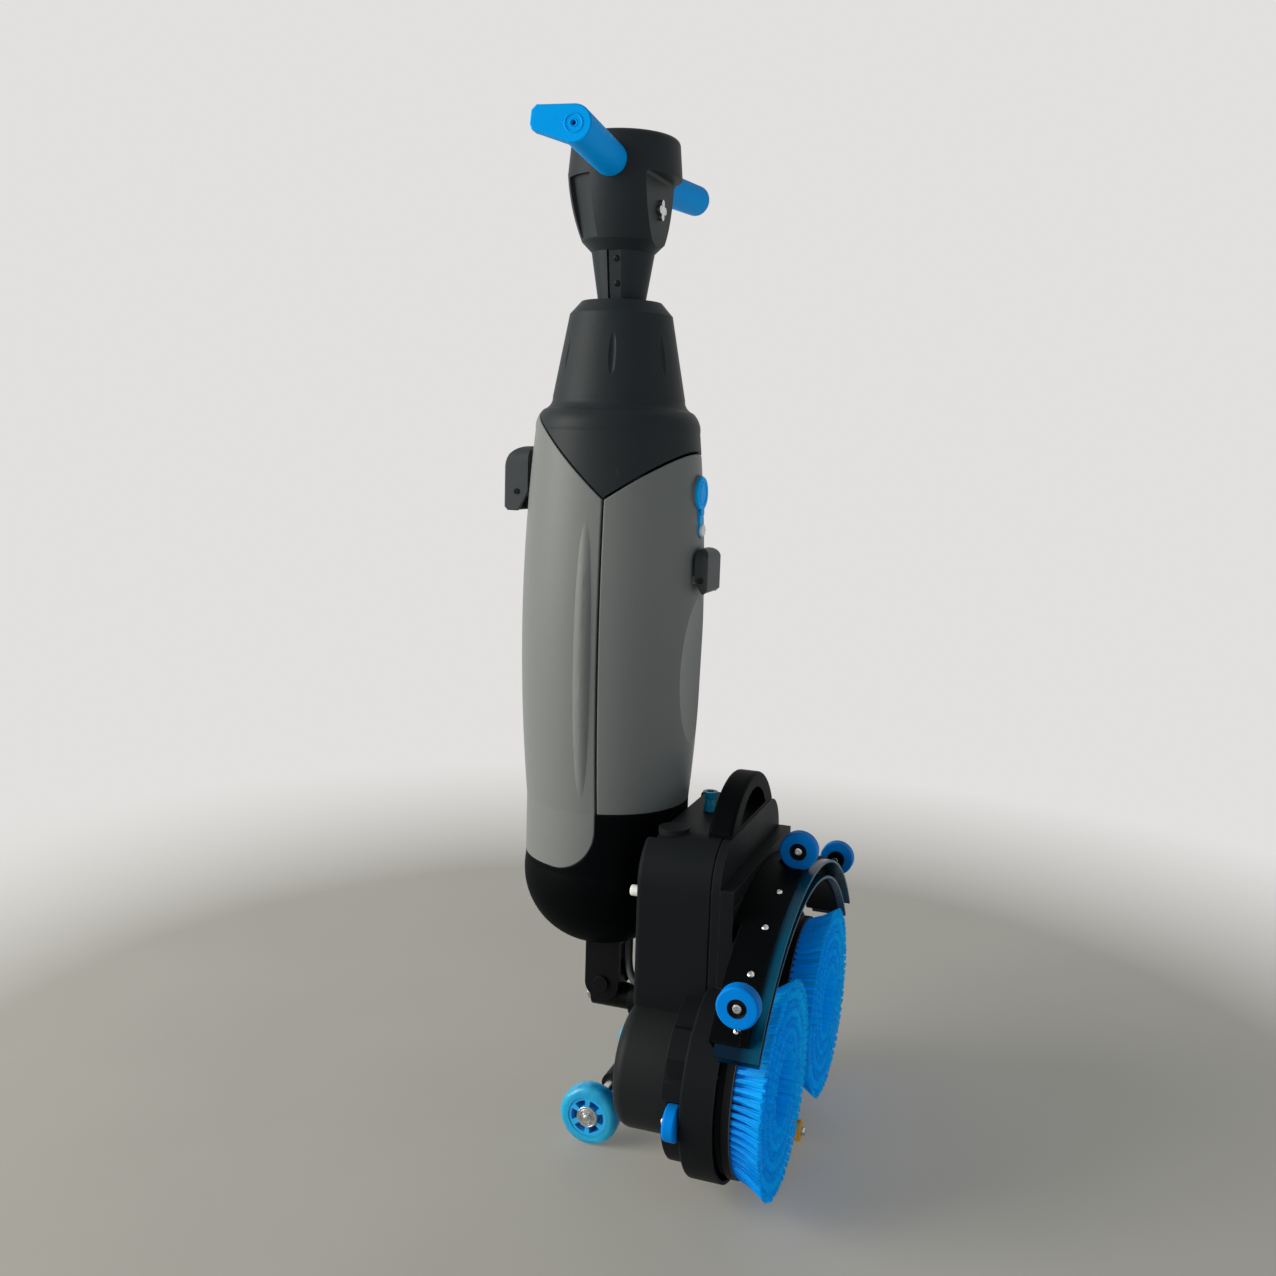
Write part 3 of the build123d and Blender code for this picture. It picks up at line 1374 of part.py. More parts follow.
def make_squeegee_carrier():
    """Arched channel that clamps both blades, with lugs for the support wheels."""
    outer = squeegee_radius
    inner = squeegee_radius - squeegee_band
    top_x = squeegee_rear_x + squeegee_top
    half = squeegee_half_angle
    carrier = squeegee_band_solid(inner, outer, squeegee_rear_x, top_x, half)
    carrier = carrier + squeegee_band_solid(
        inner, outer, squeegee_rear_x - squeegee_mount_depth, squeegee_rear_x + overlap, squeegee_mount_angle
    )
    lip_x = top_x - overlap
    carrier = carrier + squeegee_band_solid(outer - squeegee_wall, outer, lip_x, squeegee_front_x, half)
    carrier = carrier + squeegee_band_solid(inner, inner + squeegee_wall, lip_x, squeegee_front_x, half)
    clamp = squeegee_wall + blade_thickness + seat_gap
    core = squeegee_band_solid(
        inner + clamp, outer - clamp, lip_x, squeegee_front_x - squeegee_mouth, half - blade_end_lap
    )
    carrier = carrier + core
    for side in (-1, 1):
        tip = side * squeegee_end_y
        lug = disc_y(wheel_x, end_wheel_z, wheel_lug_radius, tip - side * wheel_lug_thickness, tip)
        ear = lug + end_ear(tip, side)
        carrier = carrier + (ear - disc_x(0, squeegee_centre_z, outer - squeegee_wall / 2, 0, blade_tip_x))
    well_half = squeegee_wheel_width / 2 + moving_gap
    well = disc_y(wheel_x, centre_wheel_z, squeegee_wheel_radius + moving_gap, -well_half, well_half)
    carrier = carrier - well + centre_lug() - bolt_holes()
    for radius in (outer_blade_radius, inner_blade_radius):
        slot = squeegee_band_solid(
            radius - blade_thickness - seat_gap / 2, radius + seat_gap / 2,
            top_x, blade_tip_x, half + 2 * blade_end_lap,
        )
        carrier = carrier - slot
    return carrier


def end_ear(tip, side):
    """Ear that rises from the end of the carrier past its last screw to the end wheel's bolt."""
    foot_z = squeegee_end_z
    clear_x = squeegee_front_x - screw_setback + screw_radius + screw_ear_gap
    face = make_face(Polyline(
        (clear_x, foot_z), (squeegee_front_x, foot_z),
        (wheel_x + wheel_ear_half, end_wheel_z + wheel_ear_over),
        (wheel_x - wheel_ear_half, end_wheel_z + wheel_ear_over),
        (wheel_x - wheel_ear_half, end_wheel_z - wheel_ear_over),
        (clear_x, (foot_z + end_wheel_z) / 2), close=True,
    ))
    return extrude(Plane.XZ.offset(-tip) * face, amount=side * wheel_lug_thickness)


def centre_lug():
    """Ear on top of the carrier beside the centre wheel."""
    start = squeegee_wheel_width / 2 + moving_gap
    foot_z = squeegee_centre_z + squeegee_radius - 1.5 * squeegee_wall
    lug = disc_y(wheel_x, centre_wheel_z, wheel_lug_radius, start, start + wheel_lug_thickness)
    face = make_face(Polyline(
        (squeegee_rear_x + wheel_ear_rear, foot_z), (squeegee_front_x, foot_z),
        (wheel_x + wheel_ear_half, centre_wheel_z + wheel_ear_over),
        (wheel_x - wheel_ear_half, centre_wheel_z + wheel_ear_over), close=True,
    ))
    return lug + extrude(Plane.XZ.offset(-start) * face, amount=-wheel_lug_thickness)


def bolt_holes():
    """Holes of the wheel bolts."""
    size = roller_bolt_radius + running_gap
    far_y = squeegee_end_y + overlap
    near_y = squeegee_end_y - wheel_lug_thickness - overlap
    holes = disc_y(wheel_x, end_wheel_z, size, -far_y, -near_y)
    holes = holes + disc_y(wheel_x, end_wheel_z, size, near_y, far_y)
    start = squeegee_wheel_width / 2
    return holes + disc_y(wheel_x, centre_wheel_z, size, start, start + wheel_lug_thickness + overlap)


def make_blade(radius, drop):
    """Flexible blade in its clamp, one of two."""
    start = squeegee_rear_x + squeegee_top + seat_gap
    return squeegee_band_solid(
        radius - blade_thickness, radius, start, blade_tip_x - drop, squeegee_half_angle + blade_end_lap
    )


def make_squeegee_screws():
    """Pan-head screws along the carrier's outer face."""
    screws = []
    middle_x = squeegee_front_x - screw_setback
    for angle in screw_places():
        stand = Plane(
            origin=(middle_x, squeegee_radius * sin(radians(angle)),
                    squeegee_centre_z + squeegee_radius * cos(radians(angle))),
            z_dir=(0, sin(radians(angle)), cos(radians(angle))),
        )
        head = extrude(stand.offset(seat_gap) * Circle(screw_radius), amount=screw_head_height)
        rim = head.edges().filter_by(GeomType.CIRCLE)
        far_rim = max(rim, key=lambda edge: (edge.center() - Vector(0, 0, squeegee_centre_z)).length)
        screws.append(fillet(far_rim, screw_head_height * pan_share))
    return Compound(screws)


def make_squeegee_wheel(y_start):
    """Support wheel with a recessed face round its bolt."""
    y_end = y_start + squeegee_wheel_width
    z = centre_wheel_z if abs(y_start) < squeegee_end_y / 2 else end_wheel_z
    wheel = disc_y(wheel_x, z, squeegee_wheel_radius, y_start, y_end)
    wheel = fillet(wheel.edges().filter_by(GeomType.CIRCLE), squeegee_wheel_edge)
    for face_y, inward in ((y_start, 1), (y_end, -1)):
        floor_y = face_y + inward * wheel_recess_depth
        recess = disc_y(wheel_x, z, squeegee_wheel_radius * wheel_recess_share, face_y - inward, floor_y)
        wheel = wheel - recess
    return wheel - disc_y(wheel_x, z, roller_bolt_radius + running_gap, y_start - overlap, y_end + overlap)


def headed_bolt_y(x, z, head_y, tip_y):
    """Bolt along Y with its head outside head_y."""
    out = 1 if head_y > tip_y else -1
    bolt = disc_y(x, z, roller_bolt_radius, tip_y, head_y + out * overlap)
    return bolt + disc_y(x, z, roller_bolt_head, head_y, head_y + out * roller_bolt_head_height)


def headed_bolt_x(y, z, head_x, tip_x):
    """Bolt along X with its head outside head_x."""
    out = 1 if head_x > tip_x else -1
    bolt = disc_x(y, z, roller_bolt_radius, tip_x, head_x + out * overlap)
    return bolt + disc_x(y, z, roller_bolt_head, head_x, head_x + out * roller_bolt_head_height)


def make_roller_bolts():
    """Shoulder bolts of the squeegee wheels, the bumper rollers and the support roller."""
    sink = wheel_recess_depth - moving_gap
    reach = end_wheel_start + squeegee_wheel_width
    inner = squeegee_end_y - wheel_lug_thickness
    centre_end = -centre_wheel_start + moving_gap + wheel_lug_thickness
    support_end = support_x + support_roller_length + moving_gap
    bolts = [
        headed_bolt_y(wheel_x, end_wheel_z, -reach + sink, -inner),
        headed_bolt_y(wheel_x, end_wheel_z, reach - sink, inner),
        headed_bolt_y(wheel_x, centre_wheel_z, centre_wheel_start + sink, centre_end),
        headed_bolt_x(0, support_roller_radius, support_end, support_x - support_bolt_depth),
    ]
    for side in (-1, 1):
        bolts.append(headed_bolt_x(side * bumper_y, bumper_z, bumper_rear_x - moving_gap, cup_floor_x))
    return Compound(bolts)


def make_bumper_roller(side):
    """Wall roller that stands out beside the skirt."""
    roller = disc_x(side * bumper_y, bumper_z, bumper_radius, bumper_rear_x, bumper_front_x)
    roller = fillet(roller.edges().filter_by(GeomType.CIRCLE), bumper_edge)
    return roller - disc_x(
        side * bumper_y, bumper_z, roller_bolt_radius + running_gap,
        bumper_rear_x - overlap, bumper_front_x + overlap,
    )


def make_support_roller():
    """Small roller between the brushes on which the parked deck leans."""
    end_x = support_x + support_roller_length
    roller = disc_x(0, support_roller_radius, support_roller_radius, support_x, end_x)
    roller = fillet(roller.edges().filter_by(GeomType.CIRCLE), support_roller_edge)
    return roller - disc_x(
        0, support_roller_radius, roller_bolt_radius + running_gap, support_x - overlap, end_x + overlap
    )


def make_wheel_hub(side):
    """Moulded core of a transport wheel, with windows between its spokes."""
    y_start = side * transport_y - transport_width / 2
    y_end = y_start + transport_width
    hub = disc_y(transport_x, transport_radius, hub_radius, y_start + overlap, y_end - overlap)
    outer = hub_radius - hub_rim
    inner = hub_bore_radius + hub_boss
    reach = 2 * outer
    spread = reach * tan(radians(window_half_angle))
    wedge = make_face(Polyline((0, 0), (reach, -spread), (reach, spread), close=True))
    window = (Circle(outer) - Circle(inner)) & wedge
    face = Plane.XZ.offset(-y_start) * Pos(transport_x, transport_radius)
    for index in range(spoke_windows):
        turned_window = face * Rot(0, 0, 360 * index / spoke_windows) * window
        hub = hub - extrude(turned_window, amount=-transport_width)
    bore = hub_bore_radius + running_gap
    return hub - disc_y(transport_x, transport_radius, bore, y_start - overlap, y_end + overlap)


def make_wheel_tyre(side):
    """Round-shouldered tyre cast on the hub."""
    y_start = side * transport_y - transport_width / 2
    y_end = y_start + transport_width
    tyre = disc_y(transport_x, transport_radius, transport_radius, y_start, y_end)
    tyre = fillet(tyre.edges().filter_by(GeomType.CIRCLE), transport_edge)
    return tyre - disc_y(
        transport_x, transport_radius, hub_radius + running_gap, y_start - overlap, y_end + overlap
    )


def make_transport_axle():
    """Axle through the deck's arm that carries both transport wheels, with a nut at each end."""
    reach = transport_y + transport_width / 2 + overlap
    axle = disc_y(transport_x, transport_radius, axle_radius, -reach, reach)
    hexagon = Pos(transport_x, transport_radius) * RegularPolygon(axle_radius + overlap, 6)
    for side in (-1, 1):
        collar_y = side * (transport_y - transport_width / 2 - moving_gap)
        collar_end = collar_y - side * axle_collar_width
        axle = axle + disc_y(transport_x, transport_radius, axle_radius + axle_collar, collar_y, collar_end)
        axle = axle + extrude(Plane.XZ.offset(-side * reach) * hexagon, amount=-side * axle_nut_height)
    return axle


front_seat = latch_seat(front_latch_low_z, front_latch_high_z)
rear_seat = latch_seat(rear_latch_low_z, rear_latch_high_z)
front_lever, front_lug, front_pin = latch_parts(
    front_latch_low_z, front_latch_high_z, front_latch_width, front_latch_proud
)
rear_lever, rear_lug, rear_pin = latch_parts(
    rear_latch_low_z, rear_latch_high_z, rear_latch_width, rear_latch_proud
)
front_lever = Pos(front_seat, 0, 0) * front_lever
front_lug = Pos(front_seat, 0, 0) * front_lug
rear_lever = Pos(-rear_seat, 0, 0) * mirror(rear_lever, about=Plane.YZ)
rear_lug = Pos(-rear_seat, 0, 0) * mirror(rear_lug, about=Plane.YZ)

left_grip = make_left_grip()

pieces = {
    "head_housing": make_head_housing(),
    "control_panel": make_control_panel(),
    "power_button": make_button(-1),
    "mode_button": make_button(1),
    "key_knob": make_key_knob(),
    "control_board": make_control_board(),
    "handlebar_tube": make_handlebar_tube(),
    "left_grip": left_grip,
    "right_grip": mirror(left_grip, about=Plane.XZ),
    "neck_sleeve": make_neck_sleeve(),
    "upper_cover": make_upper_cover(),
    "spine_plate": make_spine_plate(),
    "vacuum_motor": make_vacuum_motor(),
    "water_pump": make_water_pump(),
    "rear_tank": make_rear_tank(),
    "rear_latch": rear_lever,
    "front_tank": make_front_tank(),
    "front_latch": front_lever,
    "fill_cap": make_fill_cap(),
    "cap_strap": make_cap_strap(),
    "cap_rivet": make_cap_rivet(),
    "base_bowl": make_base_bowl(),
    "upper_yoke": make_upper_yoke(),
    "pitch_pin": make_pitch_pin(),
    "cross_link": make_cross_link(),
    "roll_bolt": make_roll_bolt(),
    "hose": make_hose(),
    "deck_cowl": make_deck_cowl(),
    "deck_box": make_deck_box(),
    "battery_pack": make_battery_pack(),
    "carry_handle": make_carry_handle(),
    "stop_pegs": make_stop_pegs(),
    "hose_spigot": make_hose_spigot(),
    "squeegee_carrier": make_squeegee_carrier(),
    "outer_blade": make_blade(outer_blade_radius, 0),
    "inner_blade": make_blade(inner_blade_radius, blade_step),
    "squeegee_screws": make_squeegee_screws(),
    "left_squeegee_wheel": make_squeegee_wheel(left_wheel_start),
    "centre_squeegee_wheel": make_squeegee_wheel(centre_wheel_start),
    "right_squeegee_wheel": make_squeegee_wheel(end_wheel_start),
    "roller_bolts": make_roller_bolts(),
    "support_roller": make_support_roller(),
    "transport_axle": make_transport_axle(),
}
for name, side in (("left", -1), ("right", 1)):
    pieces[name + "_motor_cover"] = make_motor_cover(side)
    pieces[name + "_motor"] = make_motor(side)
    pieces[name + "_drive_shaft"] = make_drive_shaft(side)
    pieces[name + "_brush_block"] = make_brush_block(side)
    pieces[name + "_bristles"] = make_bristles(side)
    pieces[name + "_bumper_roller"] = make_bumper_roller(side)
    pieces[name + "_wheel_hub"] = make_wheel_hub(side)
    pieces[name + "_wheel_tyre"] = make_wheel_tyre(side)

# The origin lies on the floor under the middle of the machine's length.
rear_reach = rear_seat + rear_latch_proud
to_origin = Pos((rear_reach - bristle_tip_x) / 2, 0, 0)
print("column axis at x", round((rear_reach - bristle_tip_x) / 2, 3), "pieces", len(pieces))
os.makedirs("parts", exist_ok=True)
for name, piece in pieces.items():
    export_step(to_origin * piece, "parts/" + name + ".step")
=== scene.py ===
# %% [markdown]
# # A floor scrubber, parked upright
#
# The machine is a walk-behind scrubber. A round column holds two water tanks, a head with two blue
# grips sits on top, and the brush deck is folded up against the column's foot.
# The rigid shapes come from the CAD model, so this lesson loads them as a fixed frame first. It then
# gives every piece a finish and adds what Blender does better: bristles, a hose and small hardware.

# %% Load the frame
import json
import math
import random

import bmesh
import bpy
from mathutils import Matrix, Vector


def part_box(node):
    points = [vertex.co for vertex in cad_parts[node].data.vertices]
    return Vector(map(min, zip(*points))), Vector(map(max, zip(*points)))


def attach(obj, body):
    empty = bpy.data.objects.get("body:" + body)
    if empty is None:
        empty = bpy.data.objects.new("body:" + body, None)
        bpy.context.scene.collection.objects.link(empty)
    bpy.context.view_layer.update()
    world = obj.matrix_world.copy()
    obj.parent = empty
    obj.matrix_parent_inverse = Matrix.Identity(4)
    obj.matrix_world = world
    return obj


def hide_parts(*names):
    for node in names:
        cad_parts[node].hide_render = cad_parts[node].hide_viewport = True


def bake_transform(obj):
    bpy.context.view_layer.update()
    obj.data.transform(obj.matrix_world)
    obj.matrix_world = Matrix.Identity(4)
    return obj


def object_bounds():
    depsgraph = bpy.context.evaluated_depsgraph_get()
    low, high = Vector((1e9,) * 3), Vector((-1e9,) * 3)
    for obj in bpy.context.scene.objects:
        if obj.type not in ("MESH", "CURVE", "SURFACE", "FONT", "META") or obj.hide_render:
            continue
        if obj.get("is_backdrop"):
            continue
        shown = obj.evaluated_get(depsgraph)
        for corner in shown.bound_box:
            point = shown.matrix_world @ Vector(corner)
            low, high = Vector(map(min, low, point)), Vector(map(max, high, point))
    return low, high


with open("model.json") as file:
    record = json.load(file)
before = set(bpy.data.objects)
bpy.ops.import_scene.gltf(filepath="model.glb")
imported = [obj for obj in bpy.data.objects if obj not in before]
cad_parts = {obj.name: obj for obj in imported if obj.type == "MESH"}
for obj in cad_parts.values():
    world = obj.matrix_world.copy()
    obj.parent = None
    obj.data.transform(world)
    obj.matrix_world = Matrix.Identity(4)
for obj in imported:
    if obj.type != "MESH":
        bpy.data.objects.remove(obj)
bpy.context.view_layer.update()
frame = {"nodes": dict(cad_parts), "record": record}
nodes = frame["nodes"]
scene = bpy.context.scene
scene.view_settings.view_transform = "Standard"

# %% [markdown]
# ## The camera
#
# The photograph was taken from the machine's left, a little above its middle. A camera can be placed
# by eye, but here its place, turn and lens were worked out from edges of known length, so they are
# written as numbers.

# %% Camera
camera_place = Vector((0.4538, -1.3699, 0.7924))
camera_yaw = math.radians(19.47)
camera_pitch = math.radians(8.6)
camera_roll = math.radians(1.81)
photo_width = 1276
focal_pixels = 1277

level = Matrix.Rotation(camera_yaw, 4, "Z") @ Matrix.Rotation(math.pi / 2 - camera_pitch, 4, "X")
camera_data = bpy.data.cameras.new("camera")
camera_data.sensor_width = 36.0
camera_data.lens = camera_data.sensor_width * (focal_pixels / photo_width)
camera_data.clip_end = 50
camera = bpy.data.objects.new("camera", camera_data)
camera.matrix_world = Matrix.Translation(camera_place) @ level @ Matrix.Rotation(camera_roll, 4, "Z")
scene.collection.objects.link(camera)
scene.camera = camera
print("camera", [round(value, 3) for value in camera_place], "lens", round(camera_data.lens, 2))

# %% [markdown]
# ## Helpers for meshes
#
# Each new piece is a bmesh that is shaped by operators and then stored as an object at the origin.
# Round pieces are the commonest, so one helper spins an outline about an axis. The outline is a row
# of (radius, distance along the axis) pairs, and the spin closes on itself when it merges.

# %% Mesh helpers
full_turn = 2 * math.pi
weld_distance = 1e-6
sliver_length = 1e-7
along_x = Vector((1, 0, 0))
along_y = Vector((0, 1, 0))
along_z = Vector((0, 0, 1))


def frame_along(place, axis):
    """Matrix that puts local Z along an axis at a place."""
    return Matrix.Translation(Vector(place)) @ Vector(axis).to_track_quat("Z", "Y").to_matrix().to_4x4()


def moved(bm, place, axis=None):
    """The same bmesh at a place, with its Z axis along an axis if one is given."""
    matrix = Matrix.Translation(place) if axis is None else frame_along(place, axis)
    bmesh.ops.transform(bm, matrix=matrix, verts=bm.verts)
    return bm


def turned(bm, geometry, angle, steps, **options):
    """The same bmesh after some of it was spun about Z."""
    bmesh.ops.spin(bm, geom=geometry, cent=(0, 0, 0), axis=along_z, angle=angle, steps=steps, **options)
    return bm


def spun(outline, steps=48):
    """A bmesh turned about Z from (radius, height) pairs."""
    bm = bmesh.new()
    points = [bm.verts.new((radius, 0, height)) for radius, height in outline]
    edges = [bm.edges.new(pair) for pair in zip(points, points[1:])]
    turned(bm, points + edges, full_turn, steps, use_merge=True)
    bmesh.ops.remove_doubles(bm, verts=bm.verts, dist=weld_distance)
    bmesh.ops.dissolve_degenerate(bm, edges=bm.edges, dist=sliver_length)
    bmesh.ops.recalc_face_normals(bm, faces=bm.faces)
    return bm


def spun_ring(outline, steps=48):
    """A bmesh turned about Z from an outline that ends where it starts."""
    return spun([*outline, outline[0]], steps)


def whole(bm):
    """Everything in a bmesh."""
    return bm.verts[:] + bm.edges[:] + bm.faces[:]


def copied_round(bm, count):
    """The same bmesh as one of count copies round Z."""
    return turned(bm, whole(bm), full_turn * (count - 1) / count, count - 1, use_duplicate=True)


def softened(bm, edges, width, segments):
    """The same bmesh with some of its edges rounded."""
    bmesh.ops.bevel(
        bm, geom=edges, offset=width, offset_type="OFFSET", segments=segments, profile=0.5,
        affect="EDGES", material=-1,
    )
    return bm


def joined(parts):
    """Several bmeshes as one."""
    together = bmesh.new()
    for part in parts:
        mesh = bpy.data.meshes.new("part")
        part.to_mesh(mesh)
        part.free()
        together.from_mesh(mesh)
        bpy.data.meshes.remove(mesh)
    return together


def piece(name, bm, body, slot, smooth_angle=35):
    """Stores a bmesh as an object that rides on a body and wears a slot's finish."""
    mesh = bpy.data.meshes.new(name)
    bm.to_mesh(mesh)
    bm.free()
    mesh.shade_smooth()
    mesh.set_sharp_from_angle(angle=math.radians(smooth_angle))
    mesh.materials.append(finish[slot])
    made = bpy.data.objects.new(name, mesh)
    scene.collection.objects.link(made)
    if body:
        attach(made, body)
    print("made", name, "with", len(mesh.polygons), "faces")
    return made


# %% [markdown]
# ## Helpers for nodes
#
# A finish is a tree of nodes. These helpers add a node and fill its sockets in one call: a value is a
# plain number or the output of another node, and a socket's name has _ for each space.

# %% Node helpers
def feed(socket, value):
    """Links an output to a socket, or sets the socket to a plain value."""
    if isinstance(value, bpy.types.NodeSocket):
        socket.id_data.links.new(value, socket)
    else:
        socket.default_value = value


def fill(node, **inputs):
    """The same node with its named sockets set or linked."""
    for name, value in inputs.items():
        feed(node.inputs[name.replace("_", " ")], value)
    return node


def add_node(tree, kind, **inputs):
    """A new shader node with its named sockets set or linked."""
    return fill(tree.nodes.new("ShaderNode" + kind), **inputs)


def noise(tree, scale, detail, roughness=0.5, place=None):
    """A noise on Object coordinates, or on a given place."""
    if place is None:
        place = add_node(tree, "TexCoord").outputs["Object"]
    texture = add_node(tree, "TexNoise", Vector=place, Scale=scale, Detail=detail, Roughness=roughness)
    return texture.outputs["Fac"]


def stretched(tree, value, low, high, to_low=0.0, to_high=1.0):
    """A value remapped from one range to another."""
    ends = {"From_Min": low, "From_Max": high, "To_Min": to_low, "To_Max": to_high}
    return add_node(tree, "MapRange", Value=value, **ends).outputs["Result"]


def reckoned(tree, kind, operation, *values):
    """The result of a Math or VectorMath node."""
    node = add_node(tree, kind)
    node.operation = operation
    for socket, value in zip(node.inputs, values):
        feed(socket, value)
    return node.outputs["Value"]


def product(tree, first, second):
    """Two values multiplied."""
    return reckoned(tree, "Math", "MULTIPLY", first, second)


def blended(tree, share, first, second):
    """A colour mixed by a mask; each colour is an output or three numbers."""
    mix = add_node(tree, "Mix")
    mix.data_type = "RGBA"
    feed(mix.inputs["Factor"], share)
    for socket, colour in ((mix.inputs[6], first), (mix.inputs[7], second)):
        feed(socket, colour if isinstance(colour, bpy.types.NodeSocket) else (*colour, 1))
    return mix.outputs[2]


def rounded_normal(tree, radius):
    """The way a surface faces, as if each of its edges were round."""
    rounded = add_node(tree, "Bevel", Radius=radius)
    rounded.samples = 4
    return rounded.outputs["Normal"]


# %% [markdown]
# ## Shared surface effects
#
# Moulded plastic is never quite even. It has a fine grain from the tool, a slow drift in gloss, a
# little dust where nothing wipes it and paler edges where hands and walls rub it. The paler edges are
# also a painted highlight, for light that catches each rounded edge. These effects are wanted in many
# finishes, so each is a node group that reads Object coordinates and puts out a mask or a height, and
# each finish sets its scale. An edge is found where a rounded normal leaves the true one.

# %% Grain and dust
def group_of(name, inputs, outputs):
    """An empty shader group with named sockets, and its two end nodes."""
    group = bpy.data.node_groups.new(name, "ShaderNodeTree")
    for socket, value in inputs.items():
        made = group.interface.new_socket(name=socket, in_out="INPUT", socket_type="NodeSocketFloat")
        made.default_value = value
    for socket in outputs:
        group.interface.new_socket(name=socket, in_out="OUTPUT", socket_type="NodeSocketFloat")
    start = group.nodes.new("NodeGroupInput")
    end = group.nodes.new("NodeGroupOutput")
    return group, start, end


usual_grain = 900.0
usual_mottle = 9.0
grain_group, grain_in, grain_out = group_of(
    "moulded grain", {"Grain scale": usual_grain, "Mottle scale": usual_mottle}, ["Height", "Mottle"]
)
grain = noise(grain_group, grain_in.outputs["Grain scale"], detail=2.0, roughness=0.6)
mottle = noise(grain_group, grain_in.outputs["Mottle scale"], detail=4.0)
fill(grain_out, Height=grain, Mottle=stretched(grain_group, mottle, 0.3, 0.7))

dust_group, dust_in, dust_out = group_of("settled dust", {"Patch scale": 30.0}, ["Dust"])
facing = add_node(dust_group, "NewGeometry").outputs["Normal"]
upward = add_node(dust_group, "SeparateXYZ", Vector=facing).outputs["Z"]
on_top = stretched(dust_group, upward, 0.55, 1.0)
patches = stretched(dust_group, noise(dust_group, dust_in.outputs["Patch scale"], detail=5.0), 0.35, 0.75)
fill(dust_out, Dust=product(dust_group, on_top, patches))
print("node groups", grain_group.name, "and", dust_group.name)

# %% Scuffs, and worn edges with a painted highlight
scuff_group, scuff_in, scuff_out = group_of("hair scuffs", {"Spread": 14.0}, ["Scuff"])
place = add_node(scuff_group, "TexCoord").outputs["Object"]
drawn_out = add_node(scuff_group, "Mapping", Vector=place, Rotation=(0.6, 0.3, 0.9), Scale=(1.0, 22.0, 3.0))
hairs = noise(scuff_group, scuff_in.outputs["Spread"], detail=3.0, place=drawn_out.outputs["Vector"])
fine_lines = stretched(scuff_group, hairs, 0.66, 0.74)
few_places = stretched(scuff_group, noise(scuff_group, 6.0, detail=2.0), 0.52, 0.7)
fill(scuff_out, Scuff=product(scuff_group, fine_lines, few_places))

# Paler edges: partly wear, partly a painted highlight where light catches each rounded edge.
wear_and_highlight_group, wear_and_highlight_in, wear_and_highlight_out = group_of("worn and highlit edges", {"Reach": 0.0011}, ["Edge"])
true_face = add_node(wear_and_highlight_group, "NewGeometry").outputs["Normal"]
round_face = rounded_normal(wear_and_highlight_group, wear_and_highlight_in.outputs["Reach"])
agree = reckoned(wear_and_highlight_group, "VectorMath", "DOT_PRODUCT", true_face, round_face)
bare_and_lit_edge = stretched(wear_and_highlight_group, agree, 0.8, 0.99, 1.0, 0.0)
uneven = stretched(wear_and_highlight_group, noise(wear_and_highlight_group, 45.0, detail=3.0), 0.3, 0.62, 0.35, 1.0)
fill(wear_and_highlight_out, Edge=product(wear_and_highlight_group, bare_and_lit_edge, uneven))
print("node groups", scuff_group.name, "and", wear_and_highlight_group.name)

# %% [markdown]
# ## Finishes
#
# One function builds a moulded finish: a colour that drifts between two near shades, a roughness that
# drifts too, grain as bump, faint scuffs and dust. Edges of a moulding catch the light because they
# are slightly round, so the bump starts from a Bevel node. Metal is a close cousin with other shader
# values.

# %% Material builder
edge_round = 0.0006
usual_depth = 0.00004
usual_drift = 0.08
dust_colour = (0.42, 0.4, 0.37)
dust_dulls = 0.4


def new_look(name, **plain):
    """A new material, its tree and its shader with the values that are the same all over."""
    material = bpy.data.materials.new(name)
    material.use_nodes = True
    tree = material.node_tree
    return material, tree, fill(tree.nodes["Principled BSDF"], **plain)


def placed(tree, group, **values):
    """A shared group in a material, with its own values."""
    node = tree.nodes.new("ShaderNodeGroup")
    node.node_tree = group
    return fill(node, **values)


def mask(tree, group, strength):
    """A shared group's mask, weakened to a strength."""
    return product(tree, placed(tree, group).outputs[0], strength)


def paler(colour, gain, lift):
    """A colour made lighter."""
    return tuple(min(1.0, value * gain + lift) for value in colour)


def mottled(tree, colour, second, roughness, drift, grain_scale, mottle_scale):
    """A colour and a roughness that drift together, and the height of the grain."""
    texture = placed(tree, grain_group, Grain_scale=grain_scale, Mottle_scale=mottle_scale)
    mottle = texture.outputs["Mottle"]
    rough = stretched(tree, mottle, 0.0, 1.0, roughness - drift / 2, roughness + drift / 2)
    return blended(tree, mottle, colour, second), rough, texture.outputs["Height"]


def moulded(
    name, colour, second, roughness, grain_scale=usual_grain, grain_depth=usual_depth,
    mottle_scale=usual_mottle, gloss_drift=usual_drift, dust=0.0, scuff=0.0, wear_and_highlight=0.0, metallic=0.0,
    coat=0.0, specular=0.5,
):
    """A procedural finish for moulded, painted or turned surfaces."""
    material, tree, shader = new_look(
        name, Metallic=metallic, Specular_IOR_Level=specular, Coat_Weight=coat, Coat_Roughness=0.12
    )
    shade, rough, height = mottled(tree, colour, second, roughness, gloss_drift, grain_scale, mottle_scale)
    if scuff:
        shade = blended(tree, mask(tree, scuff_group, scuff), shade, paler(colour, gain=1.6, lift=0.05))
    # Paler edges: wear together with a painted edge highlight.
    if wear_and_highlight:
        shade = blended(tree, mask(tree, wear_and_highlight_group, wear_and_highlight), shade, paler(colour, gain=1.8, lift=0.045))
    if dust:
        film = mask(tree, dust_group, dust)
        shade = blended(tree, film, shade, dust_colour)
        rough = reckoned(tree, "Math", "ADD", rough, product(tree, film, dust_dulls))
    rounded = rounded_normal(tree, edge_round)
    bump = add_node(tree, "Bump", Height=height, Distance=grain_depth, Normal=rounded)
    fill(shader, Base_Color=shade, Roughness=rough, Normal=bump.outputs["Normal"])
    return material


